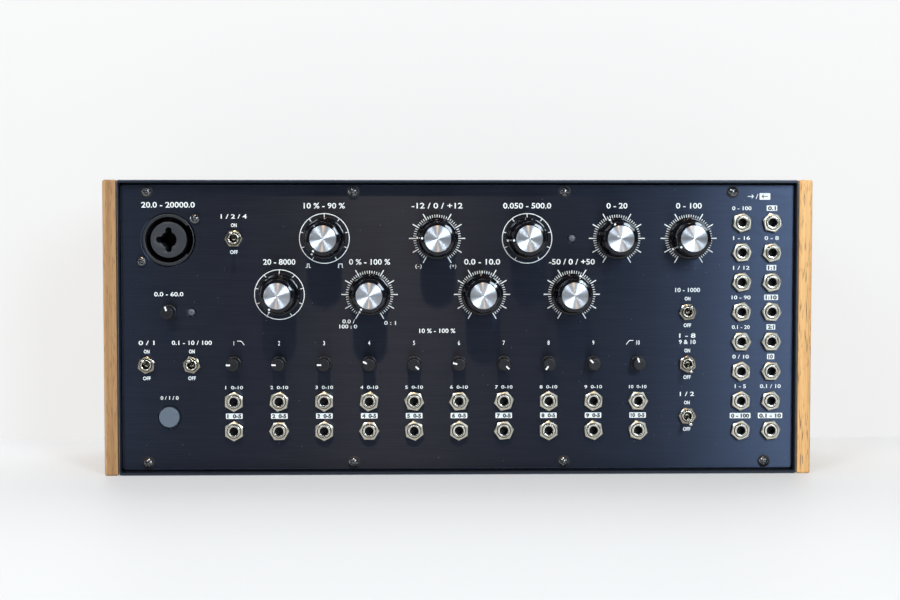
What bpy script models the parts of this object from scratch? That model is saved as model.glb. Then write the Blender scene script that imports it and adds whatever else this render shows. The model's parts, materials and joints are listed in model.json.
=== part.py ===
"""Desktop analog vocoder: a 60 HP front panel in a shallow metal case with wooden cheeks.

The instrument stands upright on its long side, as it is stored: X runs to the right along
the panel, Y into the case, Z up. The origin is the middle of the base of its bounding box.
Controls are placed in the panel's own plane, u to the right and v up from the panel's
centre, with w out of the panel towards the player.
"""
import math

import bmesh
import bpy

MM = 0.001

# Clearance between two pieces that touch on the real instrument
GAP = 0.3 * MM

# Front panel: sixty rack units of 5.08 mm wide, three rack heights high
HP = 5.08 * MM
PANEL_HP = 60
PANEL_TRIM = 0.8 * MM
PANEL_W = PANEL_HP * HP - PANEL_TRIM
PANEL_H = 128.5 * MM
PANEL_T = 2.0 * MM
PANEL_RECESS = 4.0 * MM
PANEL_EDGE_GAP = 0.9 * MM

# Case and cheeks
CASE_D = 92.0 * MM
CASE_WALL = 1.5 * MM
LIP_T = 1.35 * MM
SIDE_LIP_T = 0.7 * MM
CHEEK_T = 6.2 * MM
CHEEK_ROUND = 1.0 * MM
CHEEK_SCREW_INSET = 22.0 * MM
CHEEK_RECESS_R = 3.6 * MM
CHEEK_RECESS_D = 2.6 * MM
RAIL_H = 8.6 * MM
RAIL_D = 8.0 * MM
CASE_W = PANEL_W + 2 * (SIDE_LIP_T + GAP)
CASE_H = PANEL_H + 2 * (LIP_T + PANEL_EDGE_GAP)

# Rubber feet on the back
FOOT_R = 6.0 * MM
FOOT_H = 3.0 * MM
FOOT_INSET = 18.0 * MM
FOOT_TAPER = 0.85

# Circuit boards, parallel to the panel
BOARD_DROP = 10.0 * MM
BOARD_T = 1.6 * MM
BOARD_MARGIN = 2.5 * MM
BOARD_SPACE = 1.0 * MM

# Layout of the controls across the panel, in columns of four rack units
COLUMN = 4 * HP
BAND_COUNT = 10
LEFT_U = -PANEL_W / 2 + 4.2 * HP
SWITCH_U = PANEL_W / 2 - 9.5 * HP
PATCH_U = (PANEL_W / 2 - 4.7 * HP, PANEL_W / 2 - 2 * HP)
PATCH_COUNT = 8
LAMP_COLUMN = 7.5
KNOB_U_SHIFT = 0.3 * MM

# Rows of controls: a drop is measured down from the panel's top edge, a rise up from its lower edge
TOP_DROP = 24.05 * MM
MID_DROP = 49.35 * MM
GAIN_DROP = 57.25 * MM
SWITCH_DROP = 57.35 * MM
SOCKET_DROP = 24.65 * MM
PATCH_DROP = 16.95 * MM
PATCH_RISE = 17.2 * MM
BAND_RISE = 47.85 * MM
SWITCH_RISE = (47.55 * MM, 23.85 * MM)
JACK_RISE = (30.85 * MM, 17.45 * MM)
ROW_TOP = PANEL_H / 2 - TOP_DROP
ROW_MID = PANEL_H / 2 - MID_DROP
ROW_GAIN = PANEL_H / 2 - GAIN_DROP
ROW_BAND = BAND_RISE - PANEL_H / 2
ROW_JACK = (JACK_RISE[0] - PANEL_H / 2, JACK_RISE[1] - PANEL_H / 2)
ROW_SWITCH = (PANEL_H / 2 - SWITCH_DROP, SWITCH_RISE[0] - PANEL_H / 2, SWITCH_RISE[1] - PANEL_H / 2)
PATCH_TOP = PANEL_H / 2 - PATCH_DROP
PATCH_STEP = (PANEL_H - PATCH_DROP - PATCH_RISE) / (PATCH_COUNT - 1)

# Panel screws, along the top edge and along the lower edge
SCREW_INSET = 3.0 * MM
TOP_SCREWS_U = (-PANEL_W / 2 + 2.3 * HP, -9.38 * HP, 9.38 * HP, PANEL_W / 2 - 5.53 * HP)
BOTTOM_SCREWS_U = (-PANEL_W / 2 + 2.3 * HP, -9.38 * HP, 9.38 * HP, PANEL_W / 2 - 2.56 * HP)

# Large knob: flared skirt, eight-sided grip, spun inlay on top
KNOB_H = 16.0 * MM
KNOB_LIFT = 0.8 * MM
SKIRT_R = 9.5 * MM
SKIRT_H = 3.2 * MM
GRIP_R = 7.9 * MM
GRIP_START = 4.9 * MM
GRIP_TOP_R = 6.7 * MM
GRIP_EDGE = 1.3 * MM
INLAY_R = 5.9 * MM
INLAY_DROP = 0.25 * MM
GRIP_SIDES = 8
GRIP_FLATNESS = 0.7
SHAFT_R = 2.2 * MM
MARK_W = 0.7 * MM
MARK_DEPTH = 0.4 * MM

# Small knob: plain rod with a collar
PIN_H = 7.4 * MM
PIN_R = 2.9 * MM
PIN_COLLAR_R = 3.45 * MM
PIN_COLLAR_H = 1.0 * MM
PIN_LIFT = 0.4 * MM
PIN_SHAFT_R = 1.6 * MM

# Potentiometers
POT_W = 9.5 * MM
POT_NECK_WALL = 0.75 * MM
SHAFT_DEPTH = 7.0 * MM

# 3.5 mm jacks
JACK_NUT_AF = 7.9 * MM
JACK_NUT_T = 2.0 * MM
JACK_NECK_R = 3.0 * MM
JACK_NECK_H = 2.7 * MM
JACK_BORE_R = 1.95 * MM
JACK_BORE_D = 9.0 * MM
JACK_BODY_W = 9.0 * MM
JACK_BODY_H = 10.4 * MM

# Nuts were tightened by hand, each to its own angle
NUT_TURN_STEP = 37
NUT_SECTOR = 60

# Toggle switches
TOGGLE_NUT_AF = 7.1 * MM
TOGGLE_NUT_T = 1.8 * MM
TOGGLE_NECK_R = 2.55 * MM
TOGGLE_NECK_H = 3.0 * MM
TOGGLE_BORE_R = 1.75 * MM
TOGGLE_BALL_R = 1.3 * MM
TOGGLE_LEVER_L = 11.8 * MM
TOGGLE_LEVER_R = 0.65 * MM
TOGGLE_TIP_R = 1.0 * MM
TOGGLE_TIP_NECK = 0.9
TOGGLE_TIP_CROWN = (0.6, 0.8)
TOGGLE_BODY_W = 7.0 * MM
TOGGLE_BODY_H = 9.0 * MM
TOGGLE_TILT = 13

# Trigger button
BUTTON_R = 4.6 * MM
BUTTON_H = 2.0 * MM
BUTTON_TRAVEL = 1.2 * MM
BUTTON_FLANGE = 0.9 * MM
BUTTON_FLANGE_T = 1.0 * MM
BUTTON_STEM_R = 2.0 * MM
BUTTON_STEM_L = 3.5 * MM
KEY_SWITCH_WALL = 0.9 * MM

# Indicator lamps
LAMP_R = 1.6 * MM
LAMP_H = 0.9 * MM
LAMP_RIM = 0.35
LAMP_CROWN = 0.6

# Combined three-pin and 1/4 inch input socket, turned a quarter
SOCKET_V = PANEL_H / 2 - SOCKET_DROP
SOCKET_R = 11.75 * MM
SOCKET_WELL_R = 10.2 * MM
SOCKET_D = 28.0 * MM
SOCKET_FLOOR = 2.0 * MM
SOCKET_FLANGE = (31.0 * MM, 26.0 * MM)
SOCKET_FLANGE_T = 2.0 * MM
SOCKET_SCREW = (12.0 * MM, 9.5 * MM)
PLUG_R = 8.0 * MM
PLUG_BORE_R = 3.4 * MM
PLUG_BORE_D = 24.0 * MM
PIN_SLOT_R = 5.6 * MM
PIN_SLOT_W = 2.6 * MM
PIN_SLOT_L = 1.6 * MM
PIN_SLOT_D = 12.0 * MM

# Panel screws, also used for the socket
SCREW_HEAD_R = 2.3 * MM
SCREW_HEAD_T = 1.6 * MM
SCREW_R = 1.25 * MM
SCREW_L = 8.5 * MM
SOCKET_SCREW_L = 6.0 * MM
CROSS_W = 0.6 * MM
CROSS_L = 2.6 * MM
CROSS_D = 0.9 * MM
SCREW_RIM = 0.55
SCREW_CROWN = 0.7
SCREW_TURN = 31

# Jacks in the top wall of the case
TOP_JACK_FROM_BACK = 38.5 * MM
OUTPUT_JACK_INSET = 57.0 * MM
OUTPUT_JACK_W = 16.0 * MM
OUTPUT_JACK_L = 27.0 * MM
OUTPUT_NECK_R = 5.6 * MM
OUTPUT_BORE_R = 3.3 * MM
OUTPUT_BORE_D = 25.0 * MM
POWER_JACK_INSET = 31.0 * MM
POWER_JACK_W = 9.4 * MM
POWER_JACK_L = 14.0 * MM
POWER_NECK_R = 4.0 * MM
POWER_BORE_R = 2.9 * MM
POWER_BORE_D = 10.0 * MM
POWER_PIN_R = 1.05 * MM
OUTPUT_JACK_U = CASE_W / 2 - OUTPUT_JACK_INSET
POWER_JACK_U = CASE_W / 2 - POWER_JACK_INSET

# Depths, from the player's side to the back
FRONT_REACH = KNOB_H - PANEL_RECESS
TOTAL_D = FRONT_REACH + CASE_D + FOOT_H
LIP_Y = -TOTAL_D / 2 + FRONT_REACH
PANEL_Y = LIP_Y + PANEL_RECESS
BACK_Y = LIP_Y + CASE_D
TOP_JACK_Y = BACK_Y - TOP_JACK_FROM_BACK
PANEL_Z = CASE_H / 2
PANEL_BACK = -PANEL_T
SEAT = PANEL_BACK - GAP
BOARD_FRONT = PANEL_BACK - BOARD_DROP
BOARD_BACK = BOARD_FRONT - BOARD_T

# How far one solid sinks into another that it is fused with
BITE = 0.5 * MM

LARGE_KNOBS = (
    # name, column, row, pointer angle in degrees anticlockwise from the right
    ("pulse_width_knob", 2.0, ROW_TOP, 232),
    ("shift_knob", 4.5, ROW_TOP, 178),
    ("rate_knob", 6.5, ROW_TOP, 186),
    ("decay_knob", 8.5, ROW_TOP, 113),
    ("frequency_knob", 1.0, ROW_MID, 240),
    ("mix_knob", 3.0, ROW_MID, 240),
    ("resonance_knob", 5.5, ROW_MID, 40),
    ("amount_knob", 7.5, ROW_MID, 66),
)
VOLUME_ANGLE = 213
GAIN_ANGLE = 105
BAND_ANGLES = (180, 180, 180, 150, -45, 165, -45, 232, 135, 108)


def clear_scene():
    for item in list(bpy.data.objects):
        bpy.data.objects.remove(item, do_unlink=True)


def material(name, color, roughness, metallic=0.0):
    """A Principled material, made once and then shared by name."""
    found = bpy.data.materials.get(name)
    if found:
        return found
    made = bpy.data.materials.new(name)
    made.use_nodes = True
    shader = made.node_tree.nodes["Principled BSDF"]
    shader.inputs["Base Color"].default_value = (*color, 1.0)
    shader.inputs["Roughness"].default_value = roughness
    shader.inputs["Metallic"].default_value = metallic
    made.diffuse_color = (*color, 1.0)
    return made


def black_aluminium():
    return material("black_aluminium", (0.03, 0.032, 0.04), 0.42, 0.6)


def wood():
    return material("ash_wood", (0.62, 0.40, 0.22), 0.5)


def glossy_black():
    return material("glossy_black_plastic", (0.012, 0.012, 0.014), 0.15)


def matte_black():
    return material("matte_black_plastic", (0.03, 0.03, 0.035), 0.5)


def black_steel():
    return material("black_steel", (0.03, 0.03, 0.03), 0.35, 0.8)


def nickel():
    return material("nickel", (0.66, 0.60, 0.50), 0.25, 1.0)


def board_green():
    return material("circuit_board", (0.02, 0.10, 0.05), 0.55)


def button_grey():
    return material("button_grey", (0.20, 0.23, 0.27), 0.55)


def lamp_grey():
    return material("lamp_lens", (0.34, 0.36, 0.38), 0.3)


def rubber():
    return material("rubber", (0.02, 0.02, 0.02), 0.8)


def hole_radius(radius, sides):
    """Radius of a many-sided hole that clears a round piece by GAP at its flats."""
    return (radius + GAP) / math.cos(math.pi / sides)


def ring(bm, sides, radius, height, center, phase, shape):
    """One ring of vertices; shape scales the radius by direction."""
    points = []
    for i in range(sides):
        angle = phase + 2 * math.pi * i / sides
        reach = radius * (shape(angle, height) if shape else 1.0)
        points.append(bm.verts.new((center[0] + reach * math.cos(angle),
                                    center[1] + reach * math.sin(angle), height)))
    return points


def turned(bm, profile, sides, center=(0.0, 0.0), phase=0.0, shape=None):
    """A closed turned body: the profile runs (radius, height) from its foot to its last face."""
    rings = [ring(bm, sides, r, h, center, phase, shape) for r, h in profile]
    faces = [bm.faces.new(rings[0]), bm.faces.new(rings[-1])]
    for low, high in zip(rings, rings[1:]):
        for i in range(sides):
            j = (i + 1) % sides
            faces.append(bm.faces.new((low[i], low[j], high[j], high[i])))
    bmesh.ops.recalc_face_normals(bm, faces=faces)


def cylinder(bm, radius, low, high, sides, center=(0.0, 0.0), phase=0.0):
    turned(bm, [(radius, low), (radius, high)], sides, center, phase)


def box(bm, u_range, v_range, w_range):
    """A closed box between three pairs of coordinates."""
    corners = [bm.verts.new((u, v, w)) for u in u_range for v in v_range for w in w_range]
    sides = ((0, 1, 3, 2), (4, 6, 7, 5), (0, 4, 5, 1), (2, 3, 7, 6), (0, 2, 6, 4), (1, 5, 7, 3))
    faces = [bm.faces.new([corners[i] for i in side]) for side in sides]
    bmesh.ops.recalc_face_normals(bm, faces=faces)


def block(bm, center, width, height, low, high):
    """A box centred on a point of the panel."""
    u, v = center
    box(bm, (u - width / 2, u + width / 2), (v - height / 2, v + height / 2), (low, high))


def slab(bm, outline, low, high):
    """A flat plate with the given outline."""
    bottom = [bm.verts.new((u, v, low)) for u, v in outline]
    top = [bm.verts.new((u, v, high)) for u, v in outline]
    faces = [bm.faces.new(bottom), bm.faces.new(top)]
    for i in range(len(outline)):
        j = (i + 1) % len(outline)
        faces.append(bm.faces.new((bottom[i], bottom[j], top[j], top[i])))
    bmesh.ops.recalc_face_normals(bm, faces=faces)


def make_object(name, bm, finish=None, parent=None, smooth=True):
    """An object from a finished bmesh; without a finish it is a hidden tool."""
    mesh = bpy.data.meshes.new(name)
    bm.to_mesh(mesh)
    bm.free()
    item = bpy.data.objects.new(name, mesh)
    bpy.context.collection.objects.link(item)
    item.parent = parent
    if finish:
        mesh.materials.append(finish)
        if smooth:
            mesh.shade_smooth()
            mesh.set_sharp_from_angle(angle=math.radians(35))
    else:
        item.hide_render = True
        item.display_type = "WIRE"
    return item


def combine(target, operation, name, build, parent=None):
    """Unite a hidden tool with the target, or cut the target with it."""
    bm = bmesh.new()
    build(bm)
    tool = make_object(name, bm, parent=parent)
    step = target.modifiers.new(name, "BOOLEAN")
    step.operation = operation
    step.solver = "EXACT"
    step.object = tool


def panel_frame():
    """An empty whose local axes are u, v and w, at the centre of the panel's face."""
    frame = bpy.data.objects.new("panel_frame", None)
    bpy.context.collection.objects.link(frame)
    frame.location = (0.0, PANEL_Y, PANEL_Z)
    frame.rotation_euler = (math.radians(90), 0.0, 0.0)
    return frame


def end_frame():
    """An empty whose w axis runs along X from the middle of the lip, for the cheeks' recesses."""
    axis = bpy.data.objects.new("end_frame", None)
    bpy.context.collection.objects.link(axis)
    axis.location = (0.0, LIP_Y, CASE_H / 2)
    axis.rotation_euler = (math.radians(90), 0.0, math.radians(90))
    return axis


def column_u(n):
    return (n - BAND_COUNT / 2) * COLUMN


def large_knob_places():
    for name, column, v, angle in LARGE_KNOBS:
        yield name, (column_u(column) + KNOB_U_SHIFT, v), angle
    yield "volume_knob", (SWITCH_U + KNOB_U_SHIFT, ROW_TOP), VOLUME_ANGLE


def small_knob_places():
    yield "input_gain_knob", (LEFT_U, ROW_GAIN), GAIN_ANGLE
    for n, angle in enumerate(BAND_ANGLES):
        yield f"band_knob_{n + 1}", (column_u(n), ROW_BAND), angle


def toggle_places():
    """Each toggle's name, place and the side its lever points to, up or down."""
    return (
        ("sync_toggle", (column_u(0) + KNOB_U_SHIFT, ROW_TOP), 1),
        ("hold_toggle", (LEFT_U - 2 * HP, ROW_SWITCH[1]), 1),
        ("carrier_toggle", (LEFT_U + 2 * HP, ROW_SWITCH[1]), 1),
        ("amplifier_toggle", (SWITCH_U, ROW_SWITCH[0]), 1),
        ("band_toggle", (SWITCH_U, ROW_SWITCH[1]), -1),
        ("mode_toggle", (SWITCH_U, ROW_SWITCH[2]), -1),
    )


def band_jack_places():
    return [(column_u(n), v) for v in ROW_JACK for n in range(BAND_COUNT)]


def patch_jack_places():
    return [(u, PATCH_TOP - n * PATCH_STEP) for u in PATCH_U for n in range(PATCH_COUNT)]


def lamp_places():
    return [(LEFT_U + 2 * HP, ROW_GAIN), (column_u(LAMP_COLUMN) + KNOB_U_SHIFT, ROW_TOP)]


def button_place():
    return (LEFT_U, ROW_SWITCH[2])


def screw_places():
    v = PANEL_H / 2 - SCREW_INSET
    return [(u, v) for u in TOP_SCREWS_U] + [(u, -v) for u in BOTTOM_SCREWS_U]


def socket_screw_places():
    du, dv = SOCKET_SCREW
    return [(LEFT_U + du, SOCKET_V + dv), (LEFT_U - du, SOCKET_V - dv)]


def case_shell(frame):
    """One folded and welded shell with a rebate for the panel and a rail along each long edge."""
    half_w, half_h = CASE_W / 2, CASE_H / 2
    bm = bmesh.new()
    box(bm, (-half_w, half_w), (LIP_Y, BACK_Y), (0.0, CASE_H))
    shell = make_object("case_shell", bm, black_aluminium(), smooth=False)

    rail_front = PANEL_Y + PANEL_T + GAP
    rail_back = rail_front + RAIL_D
    rail_edge = half_h - LIP_T - RAIL_H

    def rebate(bm):
        box(bm, (-half_w + SIDE_LIP_T, half_w - SIDE_LIP_T), (LIP_Y - BITE, rail_front),
            (LIP_T, CASE_H - LIP_T))

    def window(bm):
        box(bm, (-half_w + CASE_WALL, half_w - CASE_WALL), (rail_front - BITE, rail_back + BITE),
            (half_h - rail_edge, half_h + rail_edge))

    def hollow(bm):
        box(bm, (-half_w + CASE_WALL, half_w - CASE_WALL), (rail_back, BACK_Y - CASE_WALL),
            (CASE_WALL, CASE_H - CASE_WALL))

    combine(shell, "DIFFERENCE", "panel_rebate", rebate)
    combine(shell, "DIFFERENCE", "rail_window", window)
    combine(shell, "DIFFERENCE", "case_hollow", hollow)

    def rail_holes(bm):
        for place in screw_places():
            cylinder(bm, hole_radius(SCREW_R, 8), SEAT - RAIL_D - BITE, SEAT + BITE, 8, place)

    def wall_holes(bm):
        for u, radius in ((OUTPUT_JACK_U, OUTPUT_NECK_R), (POWER_JACK_U, POWER_NECK_R)):
            cylinder(bm, hole_radius(radius, 12), CASE_H - CASE_WALL - BITE, CASE_H + BITE, 12,
                     (u, TOP_JACK_Y))

    combine(shell, "DIFFERENCE", "rail_holes", rail_holes, frame)
    combine(shell, "DIFFERENCE", "wall_holes", wall_holes)


def cheek(name, side, ends):
    """A solid wood end cheek, its edges eased, with a sunk seat for each of its two screws."""
    inner = CASE_W / 2 + GAP
    outer = inner + CHEEK_T
    bm = bmesh.new()
    box(bm, sorted((side * inner, side * outer)), (LIP_Y, BACK_Y), (0.0, CASE_H))
    item = make_object(name, bm, wood())
    ease = item.modifiers.new("eased_edges", "BEVEL")
    ease.width = CHEEK_ROUND
    ease.segments = 2
    ease.limit_method = "ANGLE"

    def recesses(bm):
        sunk = sorted((side * (outer - CHEEK_RECESS_D), side * (outer + BITE)))
        for y in (CHEEK_SCREW_INSET, CASE_D - CHEEK_SCREW_INSET):
            cylinder(bm, CHEEK_RECESS_R, *sunk, 16, (y, 0.0))

    combine(item, "DIFFERENCE", f"{name}_recesses", recesses, ends)


def front_panel(frame):
    """The drilled plate that carries every control."""
    bm = bmesh.new()
    box(bm, (-PANEL_W / 2, PANEL_W / 2), (-PANEL_H / 2, PANEL_H / 2), (PANEL_BACK, 0.0))
    panel = make_object("front_panel", bm, black_aluminium(), frame, smooth=False)

    def drill(bm, places, radius, sides=8):
        for place in places:
            cylinder(bm, hole_radius(radius, sides), PANEL_BACK - BITE, BITE, sides, place,
                     math.pi / sides)

    def holes(bm):
        drill(bm, [place for _, place, _ in large_knob_places()], neck_radius(SHAFT_R), 6)
        drill(bm, [place for _, place, _ in small_knob_places()], neck_radius(PIN_SHAFT_R))
        drill(bm, band_jack_places() + patch_jack_places(), JACK_NECK_R, 6)
        drill(bm, [place for _, place, _ in toggle_places()], TOGGLE_NECK_R)
        drill(bm, [button_place()], BUTTON_R, 16)
        drill(bm, lamp_places(), LAMP_R)
        drill(bm, screw_places() + socket_screw_places(), SCREW_R)
        drill(bm, [(LEFT_U, SOCKET_V)], SOCKET_R, 24)

    combine(panel, "DIFFERENCE", "panel_holes", holes, frame)


def screw(name, place, length, frame):
    """A pan-head cross-recess screw, its head just clear of the panel."""
    bm = bmesh.new()
    turned(bm, [(SCREW_R, GAP - length), (SCREW_R, GAP), (SCREW_HEAD_R, GAP),
                (SCREW_HEAD_R, GAP + SCREW_RIM * SCREW_HEAD_T),
                (SCREW_CROWN * SCREW_HEAD_R, GAP + SCREW_HEAD_T)], 10, place)
    item = make_object(name, bm, black_steel(), frame)

    def cross(bm):
        floor, above = GAP + SCREW_HEAD_T - CROSS_D, GAP + SCREW_HEAD_T + BITE
        arm = CROSS_L / 2
        thin = CROSS_W / 2
        outline = [(arm, thin), (thin, thin), (thin, arm), (-thin, arm), (-thin, thin),
                   (-arm, thin), (-arm, -thin), (-thin, -thin), (-thin, -arm), (thin, -arm),
                   (thin, -thin), (arm, -thin)]
        turn = math.radians(SCREW_TURN) * (place[0] + place[1]) / COLUMN
        c, s = math.cos(turn), math.sin(turn)
        slab(bm, [(place[0] + x * c - y * s, place[1] + x * s + y * c) for x, y in outline],
             floor, above)

    combine(item, "DIFFERENCE", f"{name}_cross", cross, frame)


def octagon(angle, height):
    """Flattens the grip of a large knob to eight gently curved faces."""
    if height < GRIP_START:
        return 1.0
    sector = 2 * math.pi / GRIP_SIDES
    from_middle = (angle % sector) - sector / 2
    flat = math.cos(sector / 2) / math.cos(from_middle)
    return 1.0 - GRIP_FLATNESS * (1.0 - flat)


def large_knob(name, place, angle, frame):
    """Knob and shaft in one, its origin on the shaft's axis at the panel's face."""
    top = KNOB_H
    profile = [
        (SHAFT_R, -SHAFT_DEPTH), (SHAFT_R, KNOB_LIFT),
        (SKIRT_R, KNOB_LIFT), (SKIRT_R, SKIRT_H),
        (GRIP_R, GRIP_START), (GRIP_R, top - GRIP_EDGE), (GRIP_TOP_R, top),
        (INLAY_R, top), (INLAY_R, top - INLAY_DROP),
    ]
    bm = bmesh.new()
    turned(bm, profile, 2 * GRIP_SIDES, shape=lambda a, h: octagon(a, h) if h < top else 1.0)
    item = make_object(name, bm, glossy_black(), frame)
    item.location = (*place, 0.0)
    item.rotation_euler = (0.0, 0.0, math.radians(angle))

    def mark(bm):
        box(bm, (GRIP_R - MARK_DEPTH, SKIRT_R + BITE), (-MARK_W / 2, MARK_W / 2),
            (SKIRT_H - MARK_DEPTH, GRIP_START))

    combine(item, "DIFFERENCE", f"{name}_mark", mark, item)


def small_knob(name, place, angle, frame):
    """A slim rod knob and its shaft in one, with a notch for its pointer."""
    profile = [
        (PIN_SHAFT_R, -SHAFT_DEPTH), (PIN_SHAFT_R, PIN_LIFT),
        (PIN_COLLAR_R, PIN_LIFT), (PIN_COLLAR_R, PIN_LIFT + PIN_COLLAR_H),
        (PIN_R, PIN_LIFT + PIN_COLLAR_H), (PIN_R, PIN_H),
    ]
    bm = bmesh.new()
    turned(bm, profile, 12)
    item = make_object(name, bm, matte_black(), frame)
    item.location = (*place, 0.0)
    item.rotation_euler = (0.0, 0.0, math.radians(angle))

    def mark(bm):
        box(bm, (PIN_R / 2, PIN_R + BITE), (-MARK_W / 2, MARK_W / 2),
            (PIN_H - MARK_DEPTH, PIN_H + BITE))

    combine(item, "DIFFERENCE", f"{name}_mark", mark, item)


def pot_bore(shaft):
    """Radius of a potentiometer's eight-sided bore for its shaft."""
    return hole_radius(shaft, 8)


def neck_radius(shaft):
    """Radius of the threaded neck round that bore."""
    return pot_bore(shaft) + POT_NECK_WALL


def nut_turn(n):
    """The angle at which the nth nut came to a stop."""
    return math.radians((NUT_TURN_STEP * n) % NUT_SECTOR)


def jack_board(name, outline, places, frame):
    """A row or block of 3.5 mm jacks soldered to one board, with their panel nuts."""
    bm = bmesh.new()
    slab(bm, outline, BOARD_BACK, BOARD_FRONT)
    board = make_object(name, bm, nickel(), frame, smooth=False)

    def bodies(bm):
        for place in places:
            block(bm, place, JACK_BODY_W, JACK_BODY_H, BOARD_FRONT - BITE, SEAT)

    def necks(bm):
        for place in places:
            cylinder(bm, JACK_NECK_R, SEAT - BITE, JACK_NECK_H, 8, place)

    def nuts(bm):
        for n, place in enumerate(places):
            cylinder(bm, JACK_NUT_AF / 2 / math.cos(math.pi / 6), GAP, GAP + JACK_NUT_T, 6, place,
                     nut_turn(n))

    def bores(bm):
        for place in places:
            cylinder(bm, JACK_BORE_R, JACK_NECK_H - JACK_BORE_D, JACK_NECK_H + BITE, 8, place)

    combine(board, "UNION", f"{name}_bodies", bodies, frame)
    combine(board, "UNION", f"{name}_necks", necks, frame)
    combine(board, "UNION", f"{name}_nuts", nuts, frame)
    combine(board, "DIFFERENCE", f"{name}_bores", bores, frame)


def board_rectangle(places, margin_u, margin_v):
    us = [u for u, _ in places]
    vs = [v for _, v in places]
    return min(us) - margin_u, max(us) + margin_u, min(vs) - margin_v, max(vs) + margin_v


def band_board_edges():
    reach = BOARD_MARGIN
    return board_rectangle(band_jack_places(), JACK_BODY_W / 2 + reach, JACK_BODY_H / 2 + reach)


def patch_board_edges():
    reach = BOARD_MARGIN / 2
    return board_rectangle(patch_jack_places(), JACK_BODY_W / 2 + reach, JACK_BODY_H / 2 + reach)


def rectangle(left, right, low, high):
    return [(left, low), (right, low), (right, high), (left, high)]


def main_board(frame):
    """The board of the potentiometers and the key switch, cut away round the input socket and the
    band jacks; the key switch is a closed cup under the trigger button."""
    band_left, band_right, band_low, band_high = band_board_edges()
    patch_left = patch_board_edges()[0]
    left = -PANEL_W / 2 + 2 * BOARD_MARGIN
    right = patch_left - BOARD_SPACE
    top = CASE_H / 2 - LIP_T - RAIL_H - BOARD_MARGIN
    low = band_low
    socket_right = LEFT_U + SOCKET_FLANGE[0] / 2 + BOARD_SPACE
    socket_low = SOCKET_V - SOCKET_FLANGE[1] / 2 - BOARD_SPACE
    notch_left, notch_right = band_left - BOARD_SPACE, band_right + BOARD_SPACE
    notch_top = band_high + BOARD_SPACE
    outline = [
        (left, low), (notch_left, low), (notch_left, notch_top), (notch_right, notch_top),
        (notch_right, low), (right, low), (right, top), (socket_right, top),
        (socket_right, socket_low), (left, socket_low),
    ]
    bm = bmesh.new()
    slab(bm, outline, BOARD_BACK, BOARD_FRONT)
    board = make_object("main_board", bm, board_green(), frame, smooth=False)
    large = [place for _, place, _ in large_knob_places()]
    small = [place for _, place, _ in small_knob_places()]

    def bodies(bm):
        for place in large + small:
            block(bm, place, POT_W, POT_W, BOARD_FRONT - BITE, SEAT)
        switch_w = 2 * (key_well_radius() + KEY_SWITCH_WALL)
        block(bm, button_place(), switch_w, switch_w, BOARD_FRONT - BITE, SEAT)

    def necks(bm):
        for places, shaft in ((large, SHAFT_R), (small, PIN_SHAFT_R)):
            for place in places:
                cylinder(bm, neck_radius(shaft), SEAT - BITE, 0.0, 8, place, math.pi / 8)

    def bores(bm):
        for places, shaft in ((large, SHAFT_R), (small, PIN_SHAFT_R)):
            for place in places:
                cylinder(bm, pot_bore(shaft), -SHAFT_DEPTH - GAP, BITE, 8, place, math.pi / 8)
        cylinder(bm, key_well_radius(), button_foot() - BUTTON_TRAVEL - GAP, SEAT + BITE, 16,
                 button_place(), math.pi / 16)

    combine(board, "UNION", "pot_bodies", bodies, frame)
    combine(board, "UNION", "pot_necks", necks, frame)
    combine(board, "DIFFERENCE", "pot_bores", bores, frame)


def toggle(name, place, direction, frame):
    """A panel-mounted toggle: fixed body, neck and nut, and a lever on a ball in the neck."""
    bm = bmesh.new()
    block(bm, place, TOGGLE_BODY_W, TOGGLE_BODY_H, BOARD_FRONT + GAP, SEAT)
    body = make_object(f"{name}_body", bm, nickel(), frame, smooth=False)

    def neck(bm):
        cylinder(bm, TOGGLE_NECK_R, SEAT - BITE, TOGGLE_NECK_H, 12, place)

    def nut(bm):
        turn = nut_turn(place[0] / HP)
        cylinder(bm, TOGGLE_NUT_AF / 2 / math.cos(math.pi / 6), GAP, GAP + TOGGLE_NUT_T, 6, place,
                 turn)

    def bore(bm):
        cylinder(bm, TOGGLE_BORE_R, -TOGGLE_BALL_R - GAP, TOGGLE_NECK_H + BITE, 12, place)

    combine(body, "UNION", f"{name}_neck", neck, frame)
    combine(body, "UNION", f"{name}_nut", nut, frame)
    combine(body, "DIFFERENCE", f"{name}_bore", bore, frame)

    ball, rod, tip = TOGGLE_BALL_R, TOGGLE_LEVER_R, TOGGLE_TIP_R
    crown, crown_height = TOGGLE_TIP_CROWN
    ball_meets_rod = math.sqrt(ball ** 2 - rod ** 2)
    bm = bmesh.new()
    turned(bm, [(rod, -ball_meets_rod), (ball, 0.0), (rod, ball_meets_rod),
                (rod, TOGGLE_NECK_H), (TOGGLE_TIP_NECK * tip, TOGGLE_LEVER_L - tip),
                (tip, TOGGLE_LEVER_L), (crown * tip, TOGGLE_LEVER_L + crown_height * tip)], 10)
    lever = make_object(f"{name}_lever", bm, nickel(), frame)
    lever.location = (*place, 0.0)
    lever.rotation_euler = (math.radians(-direction * TOGGLE_TILT), 0.0, 0.0)


def button_foot():
    """Height of the lower end of the button's stem at rest."""
    return SEAT - BUTTON_FLANGE_T - BUTTON_STEM_L


def key_well_radius():
    """Radius of the key switch's well, in which the button's flange slides."""
    return hole_radius(BUTTON_R + BUTTON_FLANGE, 16)


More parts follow.
